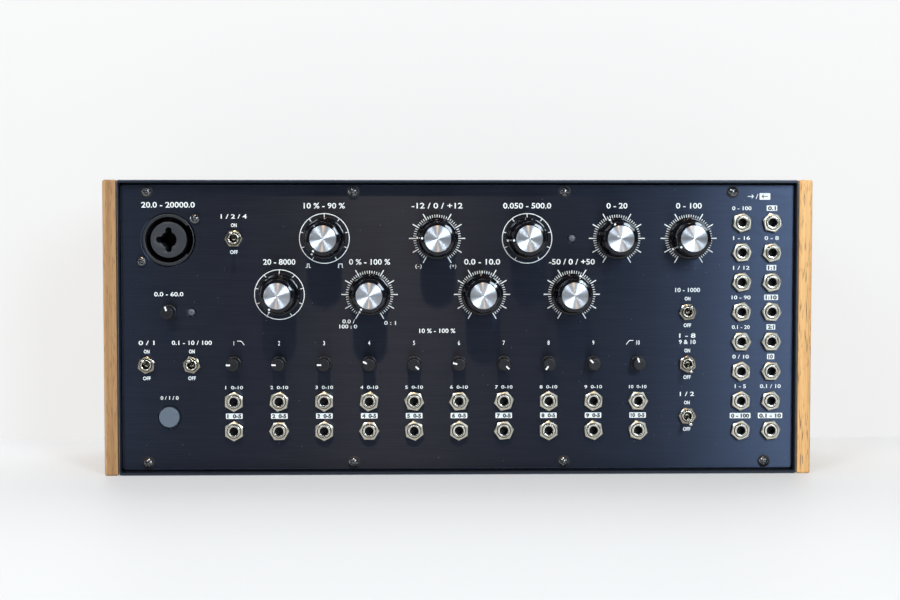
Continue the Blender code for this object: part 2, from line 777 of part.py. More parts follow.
def trigger_button(frame):
    """A flat round button held behind the panel by its flange."""
    flange = BUTTON_R + BUTTON_FLANGE
    bm = bmesh.new()
    turned(bm, [(BUTTON_STEM_R, button_foot()), (BUTTON_STEM_R, SEAT - BUTTON_FLANGE_T),
                (flange, SEAT - BUTTON_FLANGE_T), (flange, SEAT), (BUTTON_R, SEAT),
                (BUTTON_R, BUTTON_H - GAP), (BUTTON_R - GAP, BUTTON_H)], 16)
    item = make_object("trigger_button", bm, button_grey(), frame)
    item.location = (*button_place(), 0.0)


def lamp(name, place, frame):
    """A small round indicator on its spacer, standing off the board."""
    bm = bmesh.new()
    turned(bm, [(LAMP_R, BOARD_FRONT + GAP), (LAMP_R, LAMP_RIM * LAMP_H),
                (LAMP_CROWN * LAMP_R, LAMP_H)], 10, place)
    make_object(name, bm, lamp_grey(), frame)


def combo_socket(frame):
    """Input socket: an outer shell with its flange behind the panel, and the insert in its well."""
    center = (LEFT_U, SOCKET_V)
    bm = bmesh.new()
    turned(bm, [(SOCKET_R, -SOCKET_D), (SOCKET_R, 0.0), (SOCKET_WELL_R, 0.0),
                (SOCKET_WELL_R, SOCKET_FLOOR - SOCKET_D)], 24, center, math.pi / 24)
    shell = make_object("combo_socket_shell", bm, matte_black(), frame)

    def flange(bm):
        block(bm, center, SOCKET_FLANGE[0], SOCKET_FLANGE[1], SEAT - SOCKET_FLANGE_T, SEAT)

    def well(bm):
        cylinder(bm, SOCKET_WELL_R, SOCKET_FLOOR - SOCKET_D, BITE, 24, center, math.pi / 24)

    def screw_holes(bm):
        for place in socket_screw_places():
            cylinder(bm, hole_radius(SCREW_R, 8), SEAT - SOCKET_FLANGE_T - BITE, SEAT + BITE, 8,
                     place)

    combine(shell, "UNION", "socket_flange", flange, frame)
    combine(shell, "DIFFERENCE", "socket_well", well, frame)
    combine(shell, "DIFFERENCE", "socket_screw_holes", screw_holes, frame)

    bm = bmesh.new()
    turned(bm, [(PLUG_R, SOCKET_FLOOR - SOCKET_D + GAP), (PLUG_R, -GAP), (PLUG_BORE_R, -GAP),
                (PLUG_BORE_R, -PLUG_BORE_D)], 20, center)
    insert = make_object("combo_socket_insert", bm, matte_black(), frame)

    def pin_slots(bm):
        for n in range(3):
            angle = math.pi / 2 * (n + 1)
            across = (PIN_SLOT_L, PIN_SLOT_W) if n == 1 else (PIN_SLOT_W, PIN_SLOT_L)
            place = (LEFT_U + PIN_SLOT_R * math.cos(angle), SOCKET_V + PIN_SLOT_R * math.sin(angle))
            block(bm, place, *across, -PIN_SLOT_D, BITE)

    combine(insert, "DIFFERENCE", "pin_slots", pin_slots, frame)


def output_jack():
    """A 1/4 inch jack hanging from the top wall."""
    center = (OUTPUT_JACK_U, TOP_JACK_Y)
    under = CASE_H - CASE_WALL - GAP
    bm = bmesh.new()
    block(bm, center, OUTPUT_JACK_W, OUTPUT_JACK_W, under - OUTPUT_JACK_L, under)
    jack = make_object("output_jack", bm, matte_black(), smooth=False)
    combine(jack, "UNION", "output_neck",
            lambda bm: cylinder(bm, OUTPUT_NECK_R, under - BITE, CASE_H, 12, center))
    combine(jack, "DIFFERENCE", "output_bore",
            lambda bm: cylinder(bm, OUTPUT_BORE_R, CASE_H - OUTPUT_BORE_D, CASE_H + BITE, 12, center))


def power_jack():
    """A barrel power jack beside it, with its centre pin."""
    center = (POWER_JACK_U, TOP_JACK_Y)
    under = CASE_H - CASE_WALL - GAP
    bm = bmesh.new()
    block(bm, center, POWER_JACK_W, POWER_JACK_W, under - POWER_JACK_L, under)
    jack = make_object("power_jack", bm, matte_black(), smooth=False)
    combine(jack, "UNION", "power_neck",
            lambda bm: cylinder(bm, POWER_NECK_R, under - BITE, CASE_H, 12, center))
    combine(jack, "DIFFERENCE", "power_bore",
            lambda bm: cylinder(bm, POWER_BORE_R, CASE_H - POWER_BORE_D, CASE_H + BITE, 12, center))
    combine(jack, "UNION", "power_pin",
            lambda bm: cylinder(bm, POWER_PIN_R, CASE_H - POWER_BORE_D - BITE,
                                CASE_H - CASE_WALL, 8, center))


def rubber_feet():
    """Four glued feet on the back, for use lying flat."""
    for n in range(4):
        side = 1 if n % 2 else -1
        level = 1 if n // 2 else -1
        u = side * (CASE_W / 2 - FOOT_INSET)
        z = CASE_H / 2 + level * (CASE_H / 2 - FOOT_INSET)
        bm = bmesh.new()
        turned(bm, [(FOOT_R, GAP), (FOOT_TAPER * FOOT_R, FOOT_H)], 16)
        foot = make_object(f"rubber_foot_{n + 1}", bm, rubber())
        foot.location = (u, BACK_Y, z)
        foot.rotation_euler = (math.radians(-90), 0.0, 0.0)


def build():
    clear_scene()
    frame = panel_frame()
    ends = end_frame()
    case_shell(frame)
    cheek("left_cheek", -1, ends)
    cheek("right_cheek", 1, ends)
    front_panel(frame)
    for n, place in enumerate(screw_places()):
        screw(f"panel_screw_{n + 1}", place, SCREW_L, frame)
    combo_socket(frame)
    for n, place in enumerate(socket_screw_places()):
        screw(f"socket_screw_{n + 1}", place, SOCKET_SCREW_L, frame)
    main_board(frame)
    jack_board("band_jack_board", rectangle(*band_board_edges()), band_jack_places(), frame)
    jack_board("patch_jack_board", rectangle(*patch_board_edges()), patch_jack_places(), frame)
    for name, place, angle in large_knob_places():
        large_knob(name, place, angle, frame)
    for name, place, angle in small_knob_places():
        small_knob(name, place, angle, frame)
    for name, place, direction in toggle_places():
        toggle(name, place, direction, frame)
    trigger_button(frame)
    for n, place in enumerate(lamp_places()):
        lamp(f"indicator_lamp_{n + 1}", place, frame)
    output_jack()
    power_jack()
    rubber_feet()


build()
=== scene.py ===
"""The looks of a desktop analog vocoder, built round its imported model.

Lengths on the instrument are in millimetres and become metres when a piece is made. Most pieces
are given in the panel's own coordinates: u to the right, v up, both from the panel's centre, and
w out of its face. Each section holds one kind of piece.
"""
import json
import math

import bmesh
import bpy
import numpy as np
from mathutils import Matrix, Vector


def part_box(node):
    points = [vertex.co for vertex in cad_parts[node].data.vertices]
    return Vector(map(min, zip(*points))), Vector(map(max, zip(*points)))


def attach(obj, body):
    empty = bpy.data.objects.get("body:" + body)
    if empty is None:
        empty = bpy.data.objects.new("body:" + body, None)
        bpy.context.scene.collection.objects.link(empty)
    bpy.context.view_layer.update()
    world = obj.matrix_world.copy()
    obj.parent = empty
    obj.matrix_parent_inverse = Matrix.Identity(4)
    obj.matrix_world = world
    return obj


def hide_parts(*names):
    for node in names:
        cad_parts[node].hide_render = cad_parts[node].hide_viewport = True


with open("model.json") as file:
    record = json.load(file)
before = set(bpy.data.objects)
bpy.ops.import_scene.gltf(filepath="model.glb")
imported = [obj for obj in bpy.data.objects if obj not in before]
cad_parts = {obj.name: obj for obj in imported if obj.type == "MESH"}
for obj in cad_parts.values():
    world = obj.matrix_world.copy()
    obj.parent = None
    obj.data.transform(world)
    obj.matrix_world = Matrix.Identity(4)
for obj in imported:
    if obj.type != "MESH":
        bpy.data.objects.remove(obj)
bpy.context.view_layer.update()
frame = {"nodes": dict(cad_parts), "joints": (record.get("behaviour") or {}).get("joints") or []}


# Camera, floor and light. The instrument stands upright on a glossy white table, 3 cm from a
# white wall, and is photographed from three quarters of a metre by the light of four windows,
# a skylight behind it and a small warm lamp. The room behind the camera is darker than the wall.
MM = 0.001
CAMERA_FROM_PANEL = (-23.6, -766.1, 50.1)
CAMERA_TILT, CAMERA_TURN = -0.0492, -0.0255
CAMERA_LENS, CAMERA_SENSOR, CAMERA_NEAR = 67.9, 36.0, 0.01
TABLE_HALF, TABLE_FRONT, TABLE_BACK = 2.6, -0.75, 1.1
TABLE_COLOUR, TABLE_WHITE = (0.674, 0.690, 0.706), (0.92, 0.94, 0.96)
TABLE_AHEAD = (0.0, -0.15, 0.0)
WALL_Y, WALL_TOP = 0.085, 2.4
WALL_COLOUR, WALL_FOOT_SHADE, WALL_WHITE = (0.78, 0.78, 0.77), (0.875, 0.875, 0.875), (0.97, 0.97, 0.97)
FADE_HEIGHT = 0.35
ROOM_LEVEL, ROOM_SEEN, ROOM_COLOUR = 0.12, 0.93, (0.98, 0.99, 1.0)
DEEP_BLUE, BLUE, PALE_BLUE = (0.76, 0.90, 1.0), (0.82, 0.92, 1.0), (0.90, 0.95, 1.0)
HAZE, LAMPLIGHT = (0.97, 0.99, 1.0), (1.0, 0.66, 0.38)


def corners(node):
    """The low and the high corner of a CAD node's box, in millimetres."""
    return np.array(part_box(node)) / MM


PANEL_LOW, PANEL_HIGH = corners("front_panel")
PANEL_Y = PANEL_LOW[1]
PANEL_Z = (PANEL_LOW[2] + PANEL_HIGH[2]) / 2
PANEL_MIDDLE = np.array([0.0, PANEL_Y, PANEL_Z]) * MM


def in_scene(name, data):
    """A new object of the scene."""
    made = bpy.data.objects.new(name, data)
    bpy.context.scene.collection.objects.link(made)
    return made


def give(socket, value):
    """Links a socket to another one, or sets its value; a colour is given without its alpha."""
    if isinstance(value, bpy.types.NodeSocket):
        socket.id_data.links.new(value, socket)
    else:
        socket.default_value = (*value, 1.0) if socket.type == "RGBA" else value


def feed(node, *ordered, **named):
    """Gives the sockets of a node their values, in their order or by name, with _ for a space."""
    for socket, value in zip(node.inputs, ordered):
        give(socket, value)
    for key, value in named.items():
        give(node.inputs[key.replace("_", " ")], value)
    return node


def add(tree, kind, *ordered, settings=None, **named):
    """A shader node with its settings and with what feeds its sockets."""
    made = tree.nodes.new("ShaderNode" + kind)
    for key, value in (settings or {}).items():
        setattr(made, key, value)
    return feed(made, *ordered, **named)


def reckon(tree, operation, value, *others):
    """A math node's result; each further value is taken in after the one before."""
    for other in others:
        value = add(tree, "Math", value, other, settings={"operation": operation}).outputs[0]
    return value


def spread(tree, value, low=0.0, high=1.0, start=0.0, end=1.0):
    """Runs evenly from low to high while the value runs from start to end."""
    return add(tree, "MapRange", value, start, end, low, high).outputs[0]


def blend(tree, share, first, second, **settings):
    """The colour that lies a share of the way from the first to the second."""
    made = add(tree, "Mix", share, settings={"data_type": "RGBA", **settings})
    give(made.inputs[6], first)
    give(made.inputs[7], second)
    return made.outputs[2]


def object_place(tree):
    """The place on the object that is shaded, in metres."""
    return add(tree, "TexCoord").outputs["Object"]


def new_material(name, **values):
    """A material, its node tree, and its Principled shader with the given values."""
    made = bpy.data.materials.new(name)
    made.use_nodes = True
    return made, made.node_tree, feed(made.node_tree.nodes["Principled BSDF"], **values)


camera = in_scene("camera", bpy.data.cameras.new("camera"))
camera.location = PANEL_MIDDLE + np.array(CAMERA_FROM_PANEL) * MM
camera.rotation_euler = (math.pi / 2 + CAMERA_TILT, 0.0, CAMERA_TURN)
camera.data.lens = CAMERA_LENS
camera.data.sensor_width = CAMERA_SENSOR
camera.data.clip_start = CAMERA_NEAR
bpy.context.scene.camera = camera
bpy.context.scene.view_settings.view_transform = "Standard"


def stage_material(name, colour, roughness, low_white, high_white, glow):
    """A plain pale finish. Where the camera, gloss or glass sees it, a share of it is plain
    white, which runs from its low to its high tone over the first 35 cm up, so that a darker
    low tone is painted shade at the foot, and from behind it is see-through, so that it never
    hides the object."""
    made, tree, shader = new_material(name, Base_Color=colour, Roughness=roughness,
                                      Specular_IOR_Level=0.25)
    path = add(tree, "LightPath").outputs
    seen = reckon(tree, "MAXIMUM", path["Is Camera Ray"], path["Is Glossy Ray"],
                  path["Is Transmission Ray"])
    rise = spread(tree, add(tree, "SeparateXYZ", object_place(tree)).outputs[2], end=FADE_HEIGHT)
    shine = add(tree, "Emission", blend(tree, rise, low_white, high_white)).outputs[0]
    lit = add(tree, "MixShader", reckon(tree, "MULTIPLY", seen, glow), shader.outputs[0], shine)
    mixed = add(tree, "MixShader", add(tree, "NewGeometry").outputs["Backfacing"], lit.outputs[0],
                add(tree, "BsdfTransparent").outputs[0])
    feed(tree.nodes["Material Output"], Surface=mixed.outputs[0])
    return made


def stage_plane(name, near, far, material):
    """A flat stage piece between its near and its far edge, each given as (y, z)."""
    mesh = bpy.data.meshes.new(name)
    mesh.from_pydata([(-TABLE_HALF, *near), (TABLE_HALF, *near), (TABLE_HALF, *far),
                      (-TABLE_HALF, *far)], [], [(0, 1, 2, 3)])
    mesh.materials.append(material)
    made = in_scene(name, mesh)
    return made


stage_plane("table_top", (TABLE_FRONT, 0.0), (TABLE_BACK, 0.0),
            stage_material("white_table", TABLE_COLOUR, 0.5, TABLE_WHITE, TABLE_WHITE, 0.28))
# The wall's white is painted darker towards its foot: painted shade.
back_wall = stage_plane("back_wall", (WALL_Y, 0.0), (WALL_Y, WALL_TOP),
                        stage_material("white_wall", WALL_COLOUR, 0.8, WALL_FOOT_SHADE, WALL_WHITE, 0.8))
back_wall.visible_shadow = False
back_wall.visible_diffuse = False


def window(name, place, target, size, power, colour):
    """A soft rectangular light at place, turned towards target."""
    data = bpy.data.lights.new(name, "AREA")
    data.shape = "RECTANGLE"
    data.size, data.size_y = size
    data.energy = power
    data.color = colour
    made = in_scene(name, data)
    made.location = place
    way = np.array(target) - np.array(place)
    made.rotation_euler = (math.atan2(math.hypot(way[0], way[1]), -way[2]), 0.0,
                           math.atan2(-way[0], way[1]))
    return made


window("right_window", (0.562, -1.35, 0.62), (0.0, PANEL_Y * MM, 0.62), (0.30, 0.62), 15.8, DEEP_BLUE)
far_pane = window("far_pane", (0.90, -1.28, 0.72), PANEL_MIDDLE, (0.45, 0.45), 8.0, BLUE)
far_pane.visible_diffuse = False
window("high_window", (-0.68, -1.20, 0.95), PANEL_MIDDLE, (0.40, 0.5), 9.3, BLUE)
window("left_window", (-1.4, -0.16, 0.34), PANEL_MIDDLE, (0.5, 0.6), 6.5, PALE_BLUE)
window("small_lamp", (-0.05, -1.10, 1.75), PANEL_MIDDLE, (0.13, 0.13), 10.8, LAMPLIGHT)
window("skylight", (0.1, 0.7, 1.25), TABLE_AHEAD, (1.2, 0.9), 12.0, HAZE)
bounce = window("ceiling_bounce", (0.0, -0.4, 2.1), PANEL_MIDDLE, (1.6, 1.6), 10.0, HAZE)
bounce.visible_glossy = False

world = bpy.data.worlds.new("room")
world.use_nodes = True
bpy.context.scene.world = world
seen_by_camera = add(world.node_tree, "LightPath").outputs["Is Camera Ray"]
feed(world.node_tree.nodes["Background"], Color=ROOM_COLOUR,
     Strength=spread(world.node_tree, seen_by_camera, ROOM_LEVEL, ROOM_SEEN))


# Case: one shell of black satin aluminium, open at the front, where a thin lip runs round the
# panel. Two rails behind the panel's long edges take its screws.
CASE_LOW, CASE_HIGH = corners("case_shell")
CASE_HALF_U, _, CASE_HALF_V = (CASE_HIGH - CASE_LOW) / 2
CASE_FRONT, CASE_BACK = PANEL_Y - CASE_LOW[1], PANEL_Y - CASE_HIGH[1]
CASE_WALL, CASE_ROUND = 1.5, 1.2
# The lighter colour along the lip's outer front edge, and its width, make a painted highlight.
CASE_COLOUR, EDGE_HIGHLIGHT_COLOUR, EDGE_HIGHLIGHT_WIDTH = (0.009, 0.011, 0.017), (0.34, 0.37, 0.42), 0.35
LIP_U, LIP_V = 0.7, 1.35
LIP_ROUND, LIP_CORNER, LIP_EASE = 0.5, 0.5, 0.15
PANEL_SEAT = -2.3
RAIL_HEIGHT, RAIL_DEPTH = 8.6, 8.0
CORNER_STEPS = 6
SHARP = 35.0


def on_panel(points):
    """World places of (u, v, w) in millimetres: X is u, Y runs from the panel's face against w,
    and Z is v above the panel's centre."""
    points = np.asarray(points, float)
    return np.stack([points[..., 0], PANEL_Y - points[..., 2], PANEL_Z + points[..., 1]], -1) * MM


def rounded_rectangle(half_u, half_v, radius):
    """Points round a rectangle whose corners are quarter circles: each corner's arc turns about
    a centre that lies a radius inside both edges."""
    radius = min(max(radius, 1e-4), half_u, half_v)
    quarter = np.linspace(0.0, math.pi / 2, CORNER_STEPS + 1)
    outline = []
    for k, (side_u, side_v) in enumerate(((1, 1), (-1, 1), (-1, -1), (1, -1))):
        angle = quarter + k * math.pi / 2
        outline.append(np.stack([side_u * (half_u - radius) + radius * np.cos(angle),
                                 side_v * (half_v - radius) + radius * np.sin(angle)], -1))
    return np.concatenate(outline)


def skin(rings, capped=True, closed=False):
    """(points, faces) of a surface through equal rings, given as rows of a grid: each pair of
    neighbouring rows is joined by quads, and flat caps may close the first and the last row."""
    rings = np.asarray(rings, float)
    rows, sides = rings.shape[:2]
    index = np.arange(rows * sides).reshape(rows, sides)
    low, high = (index, np.roll(index, -1, 0)) if closed else (index[:-1], index[1:])
    quads = np.stack([low, np.roll(low, -1, 1), np.roll(high, -1, 1), high], -1)
    faces = quads.reshape(-1, 4).tolist()
    if capped:
        faces += [index[0][::-1].tolist(), index[-1].tolist()]
    return rings.reshape(-1, 3), faces


def frame_rings(rows, half_u, half_v):
    """Rings for skin: row (inset u, inset v, corner radius, w) is a rounded rectangle drawn in
    from the half sizes by its insets, at height w."""
    rings = []
    for inset_u, inset_v, radius, w in rows:
        flat = rounded_rectangle(half_u - inset_u, half_v - inset_v, radius)
        rings.append(np.column_stack([flat, np.full(len(flat), w)]))
    return rings


def arc(start, end, bulge=1, steps=4):
    """Points from start to end on a quarter ellipse; bulge 1 leaves start along the first
    coordinate, bulge 0 along the second."""
    turn = np.linspace(0.0, math.pi / 2, steps + 1)
    fast, slow = np.sin(turn), 1 - np.cos(turn)
    first, second = (fast, slow) if bulge else (slow, fast)
    return [(start[0] + (end[0] - start[0]) * x, start[1] + (end[1] - start[1]) * y)
            for x, y in zip(first, second)]


def slab(center, half_u, half_v, low, high, corner=0.4, edge=0.25):
    """(points, faces) of a block with rounded corners and eased edges, centred on a place."""
    ease = arc((edge, low), (0.0, low + edge), steps=2) + arc((0.0, high - edge), (edge, high), 0, 2)
    points, faces = skin(frame_rings([(d, d, max(corner - d, 0.01), w) for d, w in ease],
                                     half_u, half_v))
    return points + (*center, 0.0), faces


def turned(profile, sides, shape=None, closed=False, center=(0.0, 0.0)):
    """(points, faces) of a turned body: row k of the grid is a circle of radius profile[k][0] at
    height profile[k][1], and shape(angle, radius, height) may bend that circle."""
    radius, height = (np.array(column)[:, None] for column in zip(*profile))
    angle = np.arange(sides)[None, :] * 2 * math.pi / sides
    radius, height = radius + 0 * angle, height + 0 * angle
    if shape:
        radius, height = shape(angle, radius, height)
    return skin(np.stack([center[0] + radius * np.cos(angle), center[1] + radius * np.sin(angle),
                          height], -1), False, closed)


def outward_mesh(name, parts, place):
    """A mesh of (points, faces) parts, put on their place in the world. Doubled points are
    merged, so that poles and seams close, and the faces are turned outwards."""
    faces, start = [], 0
    for points, part_faces in parts:
        faces += [[start + i for i in face] for face in part_faces]
        start += len(points)
    mesh = bpy.data.meshes.new(name)
    mesh.from_pydata(place(np.concatenate([points for points, _ in parts])).tolist(), [], faces)
    work = bmesh.new()
    work.from_mesh(mesh)
    bmesh.ops.remove_doubles(work, verts=work.verts, dist=1e-7)
    bmesh.ops.recalc_face_normals(work, faces=work.faces)
    work.to_mesh(mesh)
    work.free()
    return mesh


def smoothed(target, sharp=SHARP):
    """Shades an object smoothly, apart from edges sharper than an angle in degrees."""
    target.data.shade_smooth()
    target.data.set_sharp_from_angle(angle=math.radians(sharp))
    target.modifiers.new("level_faces", "WEIGHTED_NORMAL").keep_sharp = True


def piece(name, parts, material, body, stands_for=(), sharp=SHARP, place=on_panel):
    """One object made of (points, faces) parts, riding on a body of the model."""
    made = in_scene(name, outward_mesh(name, parts, place))
    made.data.materials.append(material)
    smoothed(made, sharp)
    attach(made, body)
    if stands_for:
        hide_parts(*stands_for)
    return made


def final_mesh(target):
    """A new mesh with the shape that an object's modifiers or curve settings give it."""
    return bpy.data.meshes.new_from_object(target.evaluated_get(bpy.context.evaluated_depsgraph_get()))


def cut(target, tools, place):
    """Cuts (points, faces) tools out of a piece and keeps the result as its mesh."""
    tool = in_scene("tool", outward_mesh("tool", tools, place))
    target.modifiers.clear()
    step = target.modifiers.new("cut", "BOOLEAN")
    step.solver = "EXACT"
    step.object = tool
    whole, target.data = target.data, final_mesh(target)
    target.modifiers.clear()
    smoothed(target)
    bpy.data.objects.remove(tool)
    bpy.data.meshes.remove(whole)


def new_group(name, inputs, outputs):
    """A node group with named inputs and outputs, with what comes in and the node it ends in."""
    group = bpy.data.node_groups.new(name, "ShaderNodeTree")
    for key, kind in inputs.items():
        group.interface.new_socket(key, in_out="INPUT", socket_type="NodeSocket" + kind)
    for key in outputs:
        group.interface.new_socket(key, in_out="OUTPUT", socket_type="NodeSocketFloat")
    return group, group.nodes.new("NodeGroupInput").outputs, group.nodes.new("NodeGroupOutput")


def noise(tree, place, scale=1.0, stretch=None, **values):
    """Smooth noise round a half, at a place that may be stretched first."""
    if stretch:
        place = add(tree, "Mapping", Vector=place, Scale=stretch).outputs[0]
    return add(tree, "TexNoise", Vector=place, Scale=scale, **values).outputs["Fac"]


def fine_texture():
    """Group: soft unevenness of a moulded or anodised surface, from noise at two scales."""
    group, given, result = new_group("fine_texture", {"Vector": "Vector", "Grain": "Float"},
                                     ("Patches", "Height"))
    feed(result, Patches=noise(group, given["Vector"], 60.0, Detail=4.0, Roughness=0.6),
         Height=noise(group, given["Vector"], given["Grain"]))
    return group


def worn_edge():
    """Group: the mask of a painted highlight along a block's edges: 1 where a place lies within a
    few tenths of a millimetre of the edges of a block, told from the distance by which it passes
    the block's half sizes less the highlight's width, and broken up by fine noise."""
    group, given, result = new_group("worn_edge", {"Vector": "Vector", "Center": "Vector",
                                                   "Half Size": "Vector", "Width": "Float"}, ("Wear",))
    less = {"operation": "SUBTRACT"}
    off = add(group, "VectorMath", given["Vector"], given["Center"], settings=less).outputs[0]
    off = add(group, "VectorMath", off, settings={"operation": "ABSOLUTE"}).outputs[0]
    past = add(group, "VectorMath", off, given["Half Size"], settings=less).outputs[0]
    x, _, z = add(group, "SeparateXYZ", past).outputs
    near = spread(group, reckon(group, "MAXIMUM", x, z), end=given["Width"])
    broken = spread(group, noise(group, given["Vector"], 900.0, Detail=3.0), 0.35, 1.0, 0.25, 0.6)
    feed(result, Wear=reckon(group, "MULTIPLY", near, broken))
    return group


FINE_TEXTURE = fine_texture()
PAINTED_EDGE_HIGHLIGHT = worn_edge()


def fine_finish(tree, shader, grain, bump, roughness, vary):
    """Gives a shader the fine texture: roughness varies by patches, and the grain is raised."""
    texture = add(tree, "Group", settings={"node_tree": FINE_TEXTURE}, Vector=object_place(tree),
                  Grain=grain).outputs
    raised = add(tree, "Bump", Strength=1.0, Distance=bump * MM, Height=texture["Height"])
    feed(shader, Normal=raised.outputs[0],
         Roughness=spread(tree, texture["Patches"], roughness - vary, roughness + vary, 0.3, 0.7))


def wear_mask(tree, center, half_u, half_v, width):
    """The painted highlight along a block's upright and level edges, given by its centre and half sizes.
    """
    half = ((half_u - width) * MM, 1.0, (half_v - width) * MM)
    return add(tree, "Group", settings={"node_tree": PAINTED_EDGE_HIGHLIGHT}, Vector=object_place(tree),
               Center=[x * MM for x in center], Half_Size=half, Width=width * MM).outputs[0]


def case_finish():
    """Satin blue-black, painted lighter along the outer edge of the lip's front: a painted highlight."""
    made, tree, shader = new_material("case_black", Base_Color=CASE_COLOUR, IOR=1.45,
                                      Specular_Tint=(0.7, 0.82, 1.0))
    painted_highlight = wear_mask(tree, (CASE_LOW + CASE_HIGH) / 2, CASE_HALF_U, CASE_HALF_V, EDGE_HIGHLIGHT_WIDTH)
    depth = add(tree, "SeparateXYZ", object_place(tree)).outputs[1]
    ahead = reckon(tree, "LESS_THAN", depth, (CASE_LOW[1] + 4 * EDGE_HIGHLIGHT_WIDTH) * MM)
    # Painted highlight: the lip's outer edges are lighter near the front.
    feed(shader, Base_Color=blend(tree, reckon(tree, "MULTIPLY", painted_highlight, ahead), CASE_COLOUR,
                                  EDGE_HIGHLIGHT_COLOUR))
    fine_finish(tree, shader, grain=2600.0, bump=0.02, roughness=0.42, vary=0.05)
    return made


CASE_BLACK = case_finish()
back_edge = arc((0.0, CASE_BACK), (CASE_ROUND, CASE_BACK + CASE_ROUND))
case_rows = [(3 * CASE_ROUND, 3 * CASE_ROUND, CASE_ROUND, CASE_BACK)]
case_rows += [(CASE_ROUND - x, CASE_ROUND - x, CASE_ROUND, w) for x, w in back_edge]
case_rows += [(d, d, CASE_ROUND, w)
              for d, w in arc((0.0, CASE_FRONT - LIP_ROUND), (LIP_ROUND, CASE_FRONT), 0)]
case_rows += [(LIP_U - LIP_EASE, LIP_V - LIP_EASE, LIP_CORNER, CASE_FRONT),
              (LIP_U, LIP_V, LIP_CORNER, CASE_FRONT - LIP_EASE),
              (LIP_U, LIP_V, LIP_CORNER, PANEL_SEAT),
              (CASE_WALL, CASE_WALL, LIP_CORNER, PANEL_SEAT - 0.8),
              (CASE_WALL, CASE_WALL, LIP_CORNER, CASE_BACK + CASE_WALL)]
case_outer = piece("case_outer", [skin(frame_rings(case_rows, CASE_HALF_U, CASE_HALF_V))],
                   CASE_BLACK, "case", ["case_shell"])
rail_v = CASE_HALF_V - LIP_V - RAIL_HEIGHT / 2
piece("panel_rails", [slab((0.0, side * rail_v), CASE_HALF_U - CASE_WALL, RAIL_HEIGHT / 2,
                           PANEL_SEAT - RAIL_DEPTH, PANEL_SEAT) for side in (-1, 1)],
      CASE_BLACK, "case")


# Cheeks: solid boards of pale open-grained wood at both ends, their edges eased by hand, each
# held by two black wood screws that are sunk below the surface.
CHEEK_ROUND = 1.0
CHEEK_SCREW_IN = 22.0
SEAT_RADIUS, SEAT_DEPTH = 3.6, 2.6
HEAD_RADIUS, HEAD_HEIGHT = 3.1, 1.9
PORE_BROWN = (0.15, 0.075, 0.033)
CROSS_HALF_WIDTH, CROSS_REACH, CROSS_DEPTH = 0.5, 2.7, 1.05
CROSS_HEAD_RADIUS = 2.3


def ramp(tree, value, low_at, low, high_at, high):
    """A colour that runs from low to high while the value runs between their places."""
    made = add(tree, "ValToRGB", value)
    for stop, at, colour in zip(made.color_ramp.elements, (low_at, high_at), (low, high)):
        stop.position = at
        stop.color = (*colour, 1.0)
    return made.outputs[0]


def wood_finish(name, pale, deep, open_pores):
    """Pale wood whose fibres run up the board: a broad figure of bent bands, fine streaks
    between a pale and a deep tone, and short brown flecks where pores are cut open."""
    made, tree, shader = new_material(name, IOR=1.45)
    coords = object_place(tree)
    bands = noise(tree, coords, stretch=(900.0, 380.0, 12.0), Detail=6.0, Roughness=0.62,
                  Distortion=0.5)
    pores = noise(tree, coords, stretch=(1900.0, 1500.0, 150.0))
    figure_at = add(tree, "Mapping", Vector=coords, Location=(0.7, 1.3, 0.4),
                    Scale=(90.0, 26.0, 3.6)).outputs[0]
    figure = add(tree, "TexWave", settings={"bands_direction": "Y", "wave_profile": "SAW"},
                 Vector=figure_at, Scale=1.0, Distortion=7.0, Detail=2.5, Detail_Scale=0.55)
    tone = ramp(tree, bands, 0.30, deep, 0.66, pale)
    shade = ramp(tree, figure.outputs["Fac"], 0.05, (0.85, 0.83, 0.80), 0.75, (1.0, 1.0, 1.0))
    toned = blend(tree, 1.0, tone, shade, blend_type="MULTIPLY")
    open_pore = spread(tree, pores, 0.0, open_pores, 0.56, 0.70)
    pits = add(tree, "Bump", settings={"invert": True}, Strength=0.5, Distance=0.05 * MM,
               Height=open_pore)
    feed(shader, Base_Color=blend(tree, open_pore, toned, PORE_BROWN),
         Roughness=spread(tree, bands, 0.62, 0.42), Normal=pits.outputs[0])
    return made


def plain_finish(name, colour, grain, bump, roughness, vary, **values):
    """A finish of one colour with the fine texture."""
    made, tree, shader = new_material(name, Base_Color=colour, **values)
    fine_finish(tree, shader, grain, bump, roughness, vary)
    return made


def moved(part, center, turn=0.0, rise=0.0):
    """A part turned about w by an angle, then set on its place and raised."""
    points, faces = part
    c, s = math.cos(turn), math.sin(turn)
    return np.stack([center[0] + points[:, 0] * c - points[:, 1] * s,
                     center[1] + points[:, 0] * s + points[:, 1] * c, rise + points[:, 2]], -1), faces


def cross_recess(scale):
    """Shape for turned: sinks a cross with tapering arms into a screw's head. The depth falls
    off smoothly past half the arm's width and past the arm's end."""
    half_width, reach, depth = CROSS_HALF_WIDTH * scale, CROSS_REACH * scale, CROSS_DEPTH * scale

    def shape(angle, radius, height):
        across = radius * np.minimum(abs(np.cos(angle)), abs(np.sin(angle)))
        arm = half_width * (1.35 - 0.5 * radius / reach)
        inside = np.clip((arm - across) / (0.3 * half_width), 0, 1)
        ending = np.clip((reach / 1.9 - radius) / (0.12 * reach), 0, 1)
        return radius, height - depth * inside * ending * (height > 0.35 * height.max())

    return shape


def screw_head(radius, height, foot, turn, center, shank=1.2, length=8.0):
    """(points, faces) of a domed head on its shank, turned by an angle: the rim rises as a
    quarter ellipse to half the height, and the dome falls with the square of the radius."""
    rim = 0.5 * height
    profile = [(0.0, -length), (shank, -length), (shank, 0.0), (radius - 0.15, 0.0), (radius, 0.12)]
    profile += arc((radius, 0.12), (0.9 * radius, rim), 0, 3)[1:]
    profile += [(radius * t, rim + (height - rim) * (1 - (t / 0.9) ** 2))
                for t in np.linspace(0.86, 0.0, 16)]
    return moved(turned(profile, 64, cross_recess(radius / CROSS_HEAD_RADIUS)), center, turn, foot)
